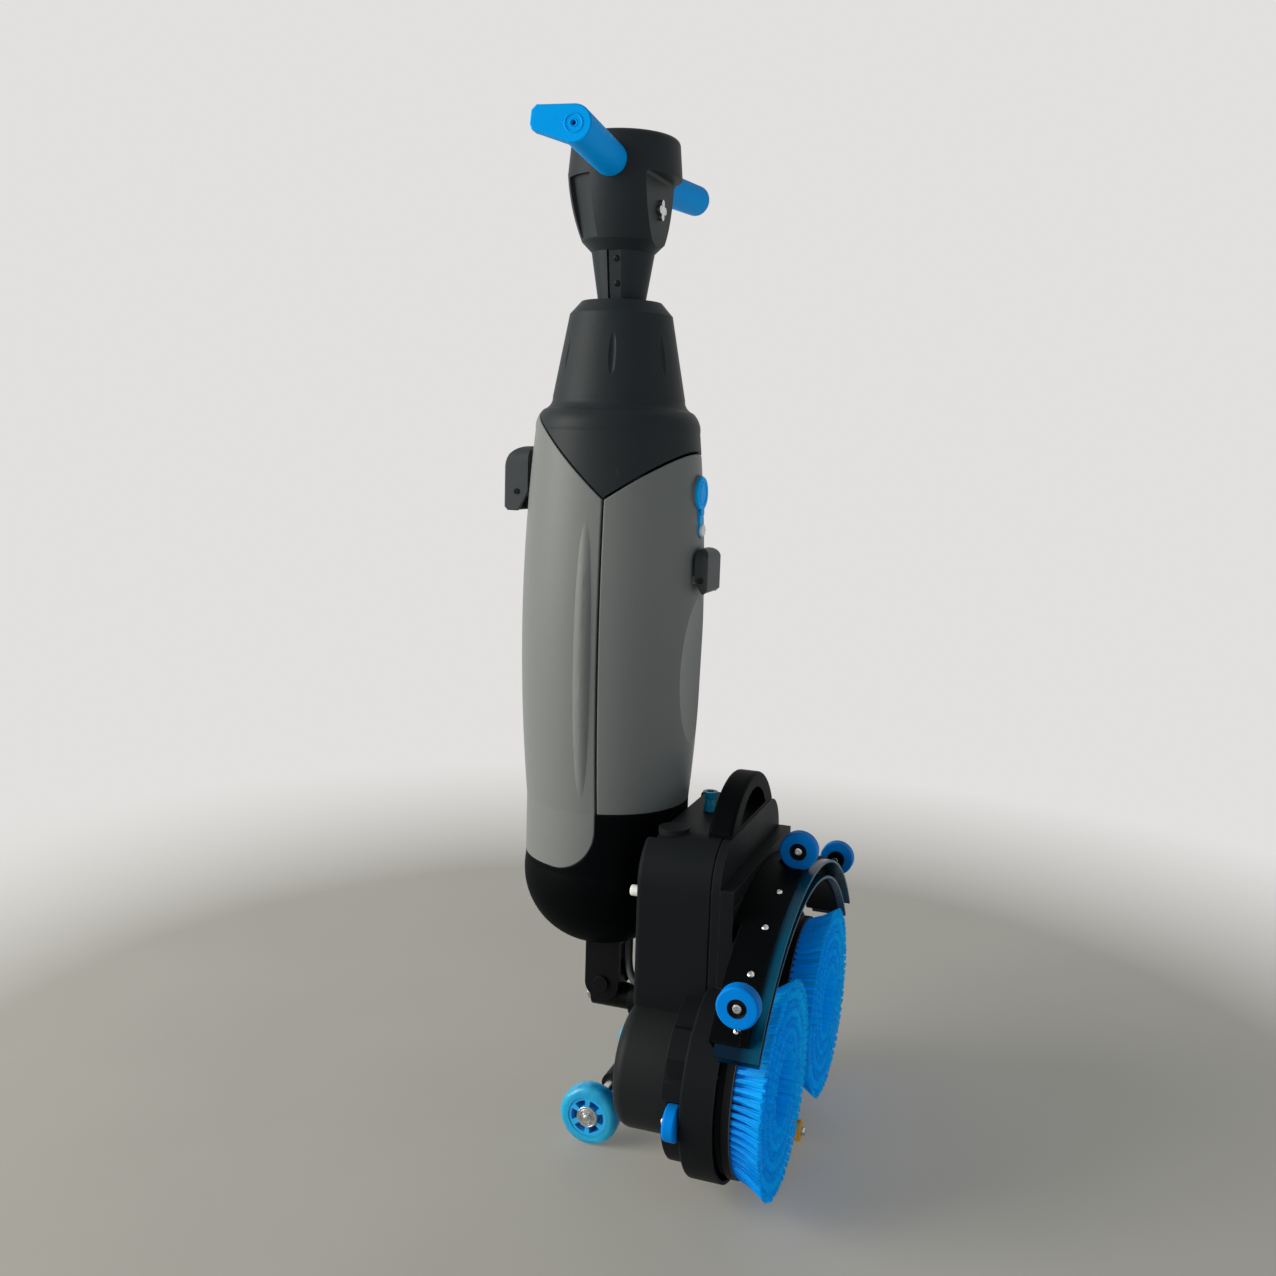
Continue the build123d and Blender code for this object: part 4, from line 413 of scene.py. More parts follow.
# %% [markdown]
# ## Colours of this machine
#
# The grips, brushes and wheels are three different blues. The head, neck and cover are a grained
# charcoal, the tanks a mid grey with a silky face, and the deck a smoother black. The darkest plastic
# isn't written as pure black, so that its shape still shows. A CAD piece keeps its mesh, so each finish
# goes straight on the pieces that wear it. It is also kept by name, and for the pieces that are made
# later that name is the record's material slot.

# %% Greys and blacks
finish = {}
bare = set(nodes)


def dress(key, material, *names):
    """Keeps a finish by name and gives it to CAD pieces."""
    finish[key] = material
    for name in names:
        mesh = nodes[name].data
        mesh.materials.clear()
        mesh.materials.append(material)
    bare.difference_update(names)


dress("charcoal_plastic", moulded(
    "charcoal grained plastic", (0.0125, 0.0165, 0.019), (0.016, 0.0205, 0.023), 0.5,
    grain_scale=1100, grain_depth=0.00009, dust=0.02, scuff=0.2, wear_and_highlight=0.5, specular=0.12,
), "head_housing", "neck_sleeve", "upper_cover", "vacuum_motor", "water_pump")
# The latches are the head's charcoal made lighter: painted light, for the light that falls on them.
dress("latch", moulded(
    "charcoal latch plastic painted lighter", (0.037, 0.042, 0.046), (0.042, 0.047, 0.051), 0.45,
    grain_scale=1100, grain_depth=0.00006, dust=0.02, scuff=0.2, wear_and_highlight=0.5, specular=0.12,
), "front_latch", "rear_latch")
dress("tank", moulded(
    "grey silk plastic", (0.146, 0.155, 0.152), (0.158, 0.166, 0.162), 0.42,
    grain_scale=1500, mottle_scale=5, dust=0.03, scuff=0.12, specular=0.12,
), "front_tank", "rear_tank")
dress("black_plastic", moulded(
    "black satin plastic", (0.0075, 0.009, 0.0102), (0.0095, 0.0112, 0.0124), 0.46,
    grain_scale=1300, grain_depth=0.00005, dust=0.004, scuff=0.1, wear_and_highlight=0.7, specular=0.035,
), "deck_cowl", "deck_box", "left_brush_block", "right_brush_block")
# The motor covers are the deck's black made lighter: painted light, for the light that falls on them.
dress("motor", moulded(
    "black motor shell painted lighter", (0.014, 0.0156, 0.0168), (0.0165, 0.018, 0.0192), 0.4,
    grain_scale=1300, grain_depth=0.00005, dust=0.004, scuff=0.1, wear_and_highlight=0.6, specular=0.06,
), "left_motor_cover", "right_motor_cover")
# A darker black: the bowl's own plastic, and painted shade on the upward carry handle and squeegee carrier.
dress("bowl", moulded(
    "black bowl plastic with painted shade", (0.0012, 0.0018, 0.0022), (0.002, 0.0026, 0.003), 0.5,
    grain_scale=1300, grain_depth=0.00005, scuff=0.08, wear_and_highlight=0.5, specular=0.02,
), "base_bowl", "carry_handle", "squeegee_carrier")
dress("black_metal", moulded(
    "black painted metal", (0.0024, 0.0028, 0.0032), (0.004, 0.0044, 0.0048), 0.36,
    grain_scale=700, grain_depth=0.00006, dust=0.02, wear_and_highlight=0.7, specular=0.1,
), "upper_yoke", "cross_link", "spine_plate", "pitch_pin")
dress("panel_plastic", moulded(
    "black gloss panel", (0.006, 0.0065, 0.007), (0.008, 0.0085, 0.009), 0.14,
    grain_depth=0.00001, gloss_drift=0.04, dust=0.04, specular=0.4,
), "control_panel")
dress("button_plastic", moulded(
    "pale grey button", (0.3, 0.32, 0.34), (0.34, 0.36, 0.38), 0.45, dust=0.05, specular=0.35,
), "power_button", "mode_button")
dress("hose_grey", moulded(
    "grey hose rubber", (0.05, 0.053, 0.06), (0.065, 0.068, 0.075), 0.5, mottle_scale=70, specular=0.15,
), "hose")
dress("white", moulded(
    "white plastic", (0.74, 0.74, 0.71), (0.8, 0.8, 0.77), 0.5, mottle_scale=80,
), "cap_rivet", "stop_pegs")
print("grey, black and white finishes", len(finish))

# %% Colours and metals
dress("grip_rubber", moulded(
    "azure grip rubber", (0.0, 0.29, 0.76), (0.0, 0.315, 0.82), 0.5,
    grain_scale=1200, grain_depth=0.00006, mottle_scale=14, scuff=0.06, specular=0.03,
), "left_grip", "right_grip")
dress("cap_blue", moulded(
    "blue cap plastic", (0.0, 0.39, 0.96), (0.0, 0.42, 1.0), 0.36,
    grain_scale=1200, mottle_scale=60, specular=0.03,
), "fill_cap", "cap_strap")
dress("wheel", moulded(
    "deep blue wheel rubber", (0.0, 0.195, 0.66), (0.0, 0.215, 0.72), 0.45,
    grain_scale=1000, grain_depth=0.00005, mottle_scale=40, specular=0.04,
), "left_squeegee_wheel", "centre_squeegee_wheel", "right_squeegee_wheel", "left_bumper_roller",
    "right_bumper_roller")
dress("hub_blue", moulded(
    "sky blue hub plastic", (0.01, 0.36, 0.74), (0.02, 0.4, 0.8), 0.25,
    grain_depth=0.00002, mottle_scale=50, coat=0.2, specular=0.3,
), "left_wheel_hub", "right_wheel_hub")
dress("spigot", moulded(
    "teal spigot plastic", (0.0, 0.25, 0.43), (0.002, 0.29, 0.48), 0.3, mottle_scale=70, specular=0.2,
), "hose_spigot")
dress("amber", moulded(
    "amber roller rubber", (0.72, 0.34, 0.01), (0.8, 0.4, 0.02), 0.35, mottle_scale=60, specular=0.3,
), "support_roller")
dress("steel", moulded(
    "stainless steel", (0.52, 0.53, 0.54), (0.6, 0.61, 0.62), 0.26,
    grain_scale=1800, grain_depth=0.000003, mottle_scale=120, metallic=1.0, gloss_drift=0.1,
), "roll_bolt", "squeegee_screws", "roller_bolts", "transport_axle", "left_drive_shaft",
    "right_drive_shaft")
dress("chrome", moulded(
    "bright chrome", (0.5, 0.51, 0.53), (0.58, 0.59, 0.61), 0.1,
    grain_depth=0.00001, mottle_scale=150, metallic=1.0, gloss_drift=0.06,
), "key_knob")
dress("aluminium", moulded(
    "drawn aluminium", (0.55, 0.56, 0.58), (0.62, 0.63, 0.64), 0.32, mottle_scale=60, metallic=1.0,
), "handlebar_tube", "left_motor", "right_motor")
dress("battery", moulded("battery wrap", (0.02, 0.05, 0.12), (0.03, 0.06, 0.14), 0.4), "battery_pack")
dress("board", moulded(
    "circuit board lacquer", (0.01, 0.12, 0.05), (0.015, 0.15, 0.06), 0.3, mottle_scale=200,
), "control_board")
print("finishes", len(finish))

# %% [markdown]
# ## Clear and cloudy rubber
#
# The transport tyres let light through to the spokes behind, and the squeegee blades glow teal where
# they are thin. Both use the shader's transmission, with a rough, tinted body instead of clear glass.
# Little light reaches the blades' roots, so a deeper colour is laid over them there.

# %% Clear rubber
blade_bright = 0.003
blade_dark = 0.02
blade_root_shade = (0.0, 0.012, 0.03)


def clear_rubber(name, colour, second, roughness, transmission, mottle_scale, specular):
    """A tinted rubber that light passes through."""
    material, tree, shader = new_look(
        name, Transmission_Weight=transmission, IOR=1.4, Specular_IOR_Level=specular
    )
    shade, rough, height = mottled(tree, colour, second, roughness, usual_drift, usual_grain, mottle_scale)
    bump = add_node(tree, "Bump", Height=height, Distance=usual_depth)
    fill(shader, Base_Color=shade, Roughness=rough, Normal=bump.outputs["Normal"])
    return material


def overlaid(material, share, colour):
    """Lays a colour over a finish by a mask; returns the mixed colour."""
    base = material.node_tree.nodes["Principled BSDF"].inputs["Base Color"]
    mixed = blended(material.node_tree, share, base.links[0].from_socket, colour)
    feed(base, mixed)
    return mixed


def shaded_towards_rear(material, low_x, high_x, deep):
    """Lays painted shade, a deep colour, over a finish towards its rear edge, by Object X."""
    tree = material.node_tree
    place = add_node(tree, "TexCoord").outputs["Object"]
    forwards = add_node(tree, "SeparateXYZ", Vector=place).outputs["X"]
    overlaid(material, stretched(tree, forwards, low_x, high_x, 1.0, 0.0), deep)


dress("blade", clear_rubber(
    "teal blade rubber", (0.0, 0.068, 0.13), (0.0, 0.084, 0.155), 0.26,
    transmission=0.1, mottle_scale=25, specular=0.08,
), "outer_blade", "inner_blade")
blade_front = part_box("outer_blade")[1].x
# Painted shade: the blade deepens towards its root.
shaded_towards_rear(finish["blade"], blade_front - blade_dark, blade_front - blade_bright, blade_root_shade)
dress("tyre", clear_rubber(
    "clear sky tyre", (0.02, 0.6, 0.97), (0.05, 0.66, 1.0), 0.14,
    transmission=0.55, mottle_scale=40, specular=0.2,
), "left_wheel_tyre", "right_wheel_tyre")
print("finishes", len(finish))

# %% [markdown]
# ## Reading places from the frame
#
# New hardware sits on the CAD pieces, so its places are read from them. A node can hold several
# solids, such as a row of screws, and each of them is an island of the mesh. A ray shot at a curved
# wall gives both the point that it meets and the way that the wall faces there.

# %% Islands and rays
ray_reach = 0.3


def middle_of(name):
    """Lowest corner, highest corner and middle of a CAD piece."""
    low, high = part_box(name)
    return low, high, (low + high) / 2


def islands(name):
    """The corner points of each separate solid in a CAD node."""
    bm = bmesh.new()
    bm.from_mesh(nodes[name].data)
    bmesh.ops.remove_doubles(bm, verts=bm.verts, dist=weld_distance)
    seen = set()
    found = []
    for vert in bm.verts:
        if vert in seen:
            continue
        group = [vert]
        seen.add(vert)
        for member in group:
            others = {edge.other_vert(member) for edge in member.link_edges} - seen
            seen.update(others)
            group.extend(others)
        found.append([member.co.copy() for member in group])
    bm.free()
    return found


def hit(name, place, out):
    """Where a ray from outside towards a place meets a CAD piece, and how the surface faces there."""
    found, spot, facing, _ = nodes[name].ray_cast(Vector(place) + out * ray_reach, -out)
    if not found:
        raise RuntimeError("the ray misses " + name)
    return spot, facing


print("solids in roller_bolts", len(islands("roller_bolts")))

# %% [markdown]
# ## Bristles
#
# Each brush is a disc of nylon tufts set in rings, and the outer rings lean outwards. Hair particles
# could grow them, but a few strands in a wedge, copied into a full disc, keep the rings that show on
# the brush's face. A tuft is narrow at its root and opens towards its tips, so dark gaps stay between
# the roots. Chance gives each strand its own lean, and a fixed seed gives the same brush every time.
# Every point also stores its painted shade, which the finish reads as an attribute: more at the roots and
# at a tuft's rim, more in every second ring and a random amount per tuft. Nylon lets light through from
# strand to strand, and a weak painted glow in its own colour stands for that light.

# %% Bristle finish
bright_tips = 0.008
root_shade_blue = (0.0, 0.3, 0.84)
shadow_blue = (0.0, 0.21, 0.68)
bristle_look = moulded(
    "azure bristle nylon", (0.0, 0.5, 1.0), (0.0, 0.55, 1.0), 0.45,
    grain_scale=2600, grain_depth=0.00003, mottle_scale=160, specular=0.1,
)
dress("bristle_blue", bristle_look, "left_bristles", "right_bristles")
bristle_low, bristle_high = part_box("left_bristles")
# Painted shade: the bristles deepen towards their roots.
shaded_towards_rear(bristle_look, bristle_low.x, bristle_high.x - bright_tips, root_shade_blue)
# The shadow attribute paints shade into the bristles' colour.
shadow_value = add_node(bristle_look.node_tree, "Attribute")
shadow_value.attribute_name = "shadow"
tuft_colour = overlaid(bristle_look, shadow_value.outputs["Fac"], shadow_blue)
# Painted glow: a weak emission in the shaded colour.
fill(bristle_look.node_tree.nodes["Principled BSDF"], Emission_Color=tuft_colour, Emission_Strength=0.15)
print("still without a finish", sorted(bare))

# %% Strands and tufts
strands_in_tuft = 34
strand_radius = 0.00052
strand_levels = 2
shortest_share = 0.95
tuft_radius = 0.0019
tip_radius = 0.0035
tip_spread = 0.0005
bend_power = 1.4
rim_shadow = 0.22
root_shadow = 0.2


def strand_mesh():
    """One three-sided strand of unit height, with a bend level in the middle."""
    bm = bmesh.new()
    bmesh.ops.create_circle(bm, segments=3, radius=strand_radius)
    rim = list(bm.edges)
    for _ in range(strand_levels):
        grown = bmesh.ops.extrude_edge_only(bm, edges=rim)["geom"]
        fresh = [item for item in grown if isinstance(item, bmesh.types.BMVert)]
        rim = [edge for edge in bm.edges if all(end in fresh for end in edge.verts)]
        bmesh.ops.translate(bm, verts=fresh, vec=(0, 0, 1 / strand_levels))
    bmesh.ops.contextual_create(bm, geom=rim)
    bmesh.ops.recalc_face_normals(bm, faces=bm.faces)
    mesh = bpy.data.meshes.new("strand")
    bm.to_mesh(mesh)
    bm.free()
    return mesh


def grow_tuft(bm, ring_radius, bearing, lean, height, shade_painted, chance):
    """Adds one tuft to a brush that points along Z; returns the painted shade of each new point."""
    outward = Vector((math.cos(bearing), math.sin(bearing), 0))
    across = Vector((-outward.y, outward.x, 0))
    shadows = []
    for _ in range(strands_in_tuft):
        away = math.sqrt(chance.random())
        side = full_turn * chance.random()
        offset = (outward * math.cos(side) + across * math.sin(side)) * away
        stray = outward * chance.gauss(0, tip_spread) + across * chance.gauss(0, tip_spread)
        drift = outward * lean + offset * (tip_radius - tuft_radius) + stray
        root = outward * ring_radius + offset * tuft_radius
        length = height * chance.uniform(shortest_share, 1.0)
        count = len(bm.verts)
        bm.from_mesh(strand)
        bm.verts.ensure_lookup_table()
        for vert in bm.verts[count:]:
            rise = vert.co.z
            vert.co = root + vert.co.xy.to_3d() + drift * rise**bend_power + along_z * length * rise
            shadows.append(shade_painted + rim_shadow * away**4 + root_shadow * (1 - rise))
    return shadows


strand = strand_mesh()
print("faces in a strand", len(strand.polygons))

# %% Brushes
wedges = 12
tuft_rings = 8
tuft_pitch = 0.0078
fewest_tufts = 3
bore_radius = 0.033
inner_ring_margin = 0.008
outer_ring_margin = 0.0045
tuft_spread = 0.0007
inner_lean = 0.002
outer_lean = 0.016
lean_power = 1.6
# Painted shade added to every second ring, and a random amount to each tuft.
ring_shade_painted = 0.26
tuft_shade_painted = 0.22


def block_ends(side):
    """Middles of a brush block's front and rear face, and its radius."""
    low, high, middle = middle_of(side + "_brush_block")
    front = Vector((high.x, middle.y, middle.z))
    rear = Vector((low.x, middle.y, middle.z))
    return front, rear, (high.z - low.z) / 2


def brush_wedge(root_low, root_high, height, chance):
    """All tufts in one wedge of a brush; every second ring gets a little more painted shade."""
    bm = bmesh.new()
    shadows = []
    for ring in range(tuft_rings):
        share = ring / (tuft_rings - 1)
        ring_radius = root_low + (root_high - root_low) * share
        lean = inner_lean + (outer_lean - inner_lean) * share**lean_power
        tufts = max(fewest_tufts, round(full_turn * ring_radius / tuft_pitch / wedges))
        for tuft in range(tufts):
            bearing = full_turn / wedges * (tuft + 0.5 * (ring % 2)) / tufts
            tuft_lean = lean + chance.gauss(0, tuft_spread)
            shade_painted = ring_shade_painted * (ring % 2) + chance.uniform(0, tuft_shade_painted)
            shadows += grow_tuft(bm, ring_radius, bearing, tuft_lean, height, shade_painted, chance)
    shadow = bm.verts.layers.float.new("shadow")
    for vert, value in zip(bm.verts, shadows):
        vert[shadow] = value
    return bm


for seed, side in enumerate(("left", "right"), start=5):
    front, _, radius = block_ends(side)
    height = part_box(side + "_bristles")[1].x - front.x
    root_low = bore_radius + inner_ring_margin
    wedge = brush_wedge(root_low, radius - outer_ring_margin, height, random.Random(seed))
    tufts = moved(copied_round(wedge, wedges), front, along_x)
    brush = piece(side + "_brush_tufts", tufts, side + "_brush", "bristle_blue", smooth_angle=80)
    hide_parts(side + "_bristles")
bpy.data.meshes.remove(strand)

# %% [markdown]
# ## Brush plates
#
# Each brush is clipped to a black drive plate that runs back into the skirt, and a thin grey lip holds
# the outer row of tufts. Both are rings about the brush's axis, so one closed outline is spun for each.

# %% Brush plates
plate_gap = 0.0001
lip_height = 0.0012
lip_width = 0.0022
lip_edge = 0.0005
plate_reach = 0.006
plate_edge = 0.001
plate_shares = (0.8, 0.96, 0.97)
for side in ("left", "right"):
    front, rear, radius = block_ends(side)
    inner = radius - lip_width
    lip = spun_ring([
        (inner, plate_gap), (inner, lip_height), (radius - lip_edge, lip_height),
        (radius, lip_height - lip_edge), (radius, plate_gap),
    ], steps=96)
    piece(side + "_brush_lip", moved(lip, front, along_x), side + "_brush", "hose_grey")
    inner, shoulder, outer = (share * radius for share in plate_shares)
    plate = spun_ring([
        (inner, plate_gap), (outer, plate_gap), (outer, plate_reach - plate_edge), (shoulder, plate_reach),
        (inner, plate_reach),
    ], steps=96)
    piece(side + "_brush_plate", moved(plate, rear, -along_x), side + "_brush", "black_plastic")

# %% [markdown]
# ## Water hose
#
# A short grey hose runs from the bowl's floor past the fork to the deck. It is the same route as in
# the CAD model, as control points of a smooth spline. The spline's own points then carry a ring that
# is swept along them into a mesh.

# %% Hose line
hose_route = [
    (-0.025618, -0.011, 0.2156),
    (-0.025618, -0.011, 0.1905),
    (-0.022104, -0.01595, 0.17622),
    (-0.013068, -0.022, 0.165),
    (-0.000518, -0.022, 0.165),
]
hose_curve = bpy.data.curves.new("hose_line", "CURVE")
hose_curve.dimensions = "3D"
hose_curve.resolution_u = 10
spline = hose_curve.splines.new("NURBS")
spline.points.add(len(hose_route) - 1)
for point, place in zip(spline.points, hose_route):
    point.co = (*place, 1)
spline.order_u = 3
spline.use_endpoint_u = True
hose_line = bpy.data.objects.new("hose_line", hose_curve)
line_mesh = bpy.data.meshes.new_from_object(hose_line)
hose_points = [vert.co.copy() for vert in line_mesh.vertices]
bpy.data.meshes.remove(line_mesh)
bpy.data.objects.remove(hose_line)
print("points along the hose", len(hose_points))

# %% Hose
hose_radius = 0.0045
hose_sides = 20
bm = bmesh.new()
rim = []
for index, place in enumerate(hose_points):
    ahead = hose_points[min(index + 1, len(hose_points) - 1)] - hose_points[max(index - 1, 0)]
    ring = bmesh.ops.create_circle(
        bm, segments=hose_sides, radius=hose_radius, matrix=frame_along(place, ahead)
    )["verts"]
    edges = list({edge for vert in ring for edge in vert.link_edges})
    if rim:
        bmesh.ops.bridge_loops(bm, edges=rim + edges)
    rim = edges
bmesh.ops.holes_fill(bm, edges=bm.edges, sides=hose_sides)
bmesh.ops.recalc_face_normals(bm, faces=bm.faces)
hose = piece("water_hose", bm, None, "hose_grey")
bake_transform(hose)
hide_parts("hose")

# %% [markdown]
# ## Socket bolts
#
# The wheels turn on cap-head bolts. The head is spun with a round pit, and the pit's rim is then
# pulled to a hexagon: on a hexagon the distance from the middle follows the cosine of the angle from
# the nearest flat. The pit is deep, so that it stays dark in the bright head.

# %% Bolt shapes
head_edge_share = 0.16
head_shoulder_share = 0.3


def hexed(bm, radius):
    """The same bmesh with its ring of points at a radius pulled in to a hexagon."""
    sixth = math.radians(60)
    for vert in bm.verts:
        if abs(vert.co.xy.length - radius) < weld_distance:
            from_flat = math.atan2(vert.co.y, vert.co.x) % sixth - sixth / 2
            shrink = math.cos(sixth / 2) / math.cos(from_flat)
            vert.co.x *= shrink
            vert.co.y *= shrink
    return bm


def socket_head(radius, height, socket, depth):
    """A bolt head along Z with its seat at zero and a hexagon pit in the top."""
    edge = head_edge_share * height
    shoulder = head_shoulder_share * edge
    bm = spun([
        (0, height - depth), (socket, height - depth), (socket, height), (radius - edge, height),
        (radius - shoulder, height - shoulder), (radius, height - edge), (radius, 0), (0, 0),
    ])
    return hexed(bm, socket)


# %% Bolts
head_height = 0.004
head_share = 0.76
socket_share = 0.56
socket_depth = 0.8 * head_height


def reach_near(points, axis, middle, end):
    """How far a solid spreads from its axis near one end."""
    near = [point for point in points if abs(point[axis] - end) < head_height / 2]
    across = [index for index in range(3) if index != axis]
    return max(math.hypot(*(point[index] - middle[index] for index in across)) for point in near)


bolts = []
for points in islands("roller_bolts"):
    low = Vector([min(values) for values in zip(*points)])
    high = Vector([max(values) for values in zip(*points)])
    middle = (low + high) / 2
    length = max(high - low)
    axis = list(high - low).index(length)
    low_reach = reach_near(points, axis, middle, low[axis])
    high_reach = reach_near(points, axis, middle, high[axis])
    out = Vector()
    out[axis] = 1 if high_reach > low_reach else -1
    seat = middle + out * (length / 2 - head_height)
    radius = head_share * max(low_reach, high_reach)
    shank = min(low_reach, high_reach)
    tip = head_height - length
    bolt = joined([
        socket_head(radius, head_height, socket_share * radius, socket_depth),
        spun([(0, 0), (shank, 0), (shank, tip), (0, tip)], steps=32),
    ])
    bolts.append(moved(bolt, seat, out))
bolt_piece = piece("socket_bolts", joined(bolts), "deck", "steel")
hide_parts("roller_bolts")

# %% [markdown]
# ## Hub liners
#
# Each squeegee wheel has a dark bush in its face, and the bolt head sits in it. The bush is a thin cup,
# so its outline is spun as one closed line: outer wall, rim, inner wall and floor. A boolean could cut
# it into the wheel, but the CAD wheel already has the pit, and the cup lines it.

# %% Hub liners
pit_share = 0.46
pit_ray_share = 0.4
liner_gap = 0.00008


def cup(radius, depth, wall=0.0006, bore=0.0045):
    """A thin cup along Z with its floor at zero and a hole in the floor."""
    inner = radius - wall
    return spun_ring([
        (bore, 0), (radius, 0), (radius, depth - wall), (radius - wall / 2, depth), (inner, depth - wall),
        (inner, wall), (bore, wall),
    ])


liners = []
for side in ("left", "centre", "right"):
    wheel = side + "_squeegee_wheel"
    low, high, middle = middle_of(wheel)
    radius = (high.z - low.z) / 2
    for out, face_y in ((-along_y, low.y), (along_y, high.y)):
        floor_y = hit(wheel, middle + along_z * pit_ray_share * radius, out)[0].y
        seat = Vector((middle.x, floor_y, middle.z)) + out * liner_gap
        liner = cup(pit_share * radius - liner_gap, abs(face_y - floor_y) - 2 * liner_gap)
        liners.append(moved(liner, seat, out))
piece("hub_liners", joined(liners), "deck", "black_plastic")

# %% [markdown]
# ## Pan-head screws
#
# Eight bright screws hold the squeegee blades, and two black ones sit on each side of the neck. A pan
# head is a low dome with a key pit, so it is the bolt outline again with a rounder shoulder. The dome
# is spun, and the pit is pulled to a hexagon in the same way.

# %% Blade screws
key_share = 0.4
key_floor = 0.45
key_rim = 0.98
dome_shares = [(0.55, 0.93), (0.8, 0.74), (0.95, 0.42), (1.0, 0.12), (1.0, 0), (0, 0)]


def pan_head(radius, height):
    """A domed screw head along Z with its seat at zero."""
    pit = key_share * radius
    dome = [(across * radius, up * height) for across, up in dome_shares]
    key = [(0, key_floor * height), (pit, key_floor * height), (pit, key_rim * height)]
    return hexed(spun(key + dome, steps=36), pit)


screw_islands = islands("squeegee_screws")
centres = [sum(points, Vector()) / len(points) for points in screw_islands]
first = min(centres, key=lambda place: place.z)
last = max(centres, key=lambda place: place.z)
arc_z = (first.y**2 + first.z**2 - last.y**2 - last.z**2) / (2 * (first.z - last.z))
screw_heads = []
for points, centre in zip(screw_islands, centres):
    out = Vector((0, centre.y, centre.z - arc_z)).normalized()
    heights = [point.dot(out) for point in points]
    spread = max((point - centre - out * (point - centre).dot(out)).length for point in points)
    seat = centre + out * (min(heights) - centre.dot(out))
    screw_heads.append(moved(pan_head(spread, max(heights) - min(heights)), seat, out))
screws = piece("blade_screws", joined(screw_heads), "deck", "steel")
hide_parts("squeegee_screws")

# %% Neck screws
neck_screw_x = -0.0578
neck_screw_heights = (0.9918, 0.9659)
neck_screw_sink = 0.0002
neck_heads = []
for out in (-along_y, along_y):
    for height in neck_screw_heights:
        place, facing = hit("neck_sleeve", (neck_screw_x, 0, height), out)
        seat = place - facing * neck_screw_sink
        neck_heads.append(moved(pan_head(radius=0.0036, height=0.0014), seat, facing))
piece("neck_screws", joined(neck_heads), "column", "black_metal")

# %% [markdown]
# ## Rings on the grips and the fill cap
#
# Moulded ends often carry a low raised ring. It is too fine for bump alone, because it shows on the
# outline of a close view, so each ring is a real strip: a low outline with sloped flanks, spun about
# the axis. Its foot is sunk into the piece that carries it.

# %% Raised rings
flank_share = 0.3
knee_share = 0.2
knee_height = 0.4


def raised_ring(inner, outer, height, sink=0.0004):
    """A low ring along Z with sloped flanks and its foot a little below zero."""
    flank = flank_share * (outer - inner)
    knee = knee_share * flank
    return spun_ring([
        (inner, -sink), (inner + knee, knee_height * height), (inner + flank, height),
        (outer - flank, height), (outer - knee, knee_height * height), (outer, -sink),
    ], steps=64)


grip_ray_aside = 0.006
mounts = {mount["name"]: mount for mount in frame["record"]["mounts"]}
for side in ("left", "right"):
    mount = mounts[side + "_grip_end"]
    axis = Vector(mount["axis"])
    aside = axis.cross(along_z).normalized() * grip_ray_aside
    place = hit(side + "_grip", Vector(mount["pos_m"]) + aside, axis)[0]
    wide_ring = raised_ring(inner=0.0076, outer=0.0098, height=0.0007)
    small_ring = raised_ring(inner=0.0028, outer=0.0042, height=0.0005)
    rings = moved(joined([wide_ring, small_ring]), place - aside, axis)
    piece(side + "_grip_rings", rings, "column", "grip_rubber")

cap_low, cap_high, cap_middle = middle_of("fill_cap")
cap_radius = (cap_high.y - cap_low.y) / 2
cap_ring = raised_ring(inner=0.6 * cap_radius, outer=0.72 * cap_radius, height=0.0008)
moved(cap_ring, (cap_high.x, cap_middle.y, cap_high.z - cap_radius), along_x)
piece("cap_ring", cap_ring, "fill_cap", "cap_blue")

# %% [markdown]
# ## Cap strap
#
# A rubber strap ties the fill cap to the tank, so it must stretch when the cap is pulled. A mesh bends
# only where it has points, so a copy of the CAD strap is cut into short bands.

# %% Cap strap
strap_bands = 20
strap_low, strap_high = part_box("cap_strap")
strap = bmesh.new()
strap.from_mesh(nodes["cap_strap"].data)
for index in range(1, strap_bands):
    height = strap_low.lerp(strap_high, index / strap_bands)
    bmesh.ops.bisect_plane(strap, geom=whole(strap), plane_co=height, plane_no=along_z)
soft_strap = piece("soft_strap", strap, None, "cap_blue")
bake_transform(soft_strap)
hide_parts("cap_strap")

# %% [markdown]
# ## Transport wheels
#
# These are skate wheels: a clear tyre is cast round a slotted rim, and a ball bearing with a steel
# shield sits in the hub. The rim's teeth are one short arc, spun and then copied round the wheel. The
# axle keeps the CAD model's place, with a collar inside each wheel and a crowned nut outside it.

# %% Rim teeth and bearings
tooth_count = 12
tooth_share = 0.62


def rim_teeth(low=0.0228, high=0.0275, half_width=0.0085, edge=0.0006, sharp=1):
    """Twelve blocks in a ring round Z."""
    bm = bmesh.new()
    corners = [(low, -half_width), (high, -half_width), (high, half_width), (low, half_width)]
    bm.faces.new([bm.verts.new((radius, 0, height)) for radius, height in corners])
    turned(bm, whole(bm), full_turn / tooth_count * tooth_share, steps=4)
    bmesh.ops.recalc_face_normals(bm, faces=bm.faces)
    ridges = [item for item in bm.edges if item.is_manifold and item.calc_face_angle() > sharp]
    return copied_round(softened(bm, ridges, edge, segments=2), tooth_count)


def bearing(bore=0.0082, outer=0.0122, race=0.0016, shield=0.0009):
    """Face of a ball bearing along Z: two races with a sunk shield between them."""
    return spun_ring([
        (bore, 0), (outer, 0), (outer, 0.0012), (0.0118, race), (0.0109, race), (0.0108, shield),
        (0.0093, shield), (0.0092, race), (0.0085, race), (bore, 0.0013),
    ], steps=64)


# %% Axle and wheels
axle_radius = 0.008
axle_end = 0.006
collar_gap = 0.0014


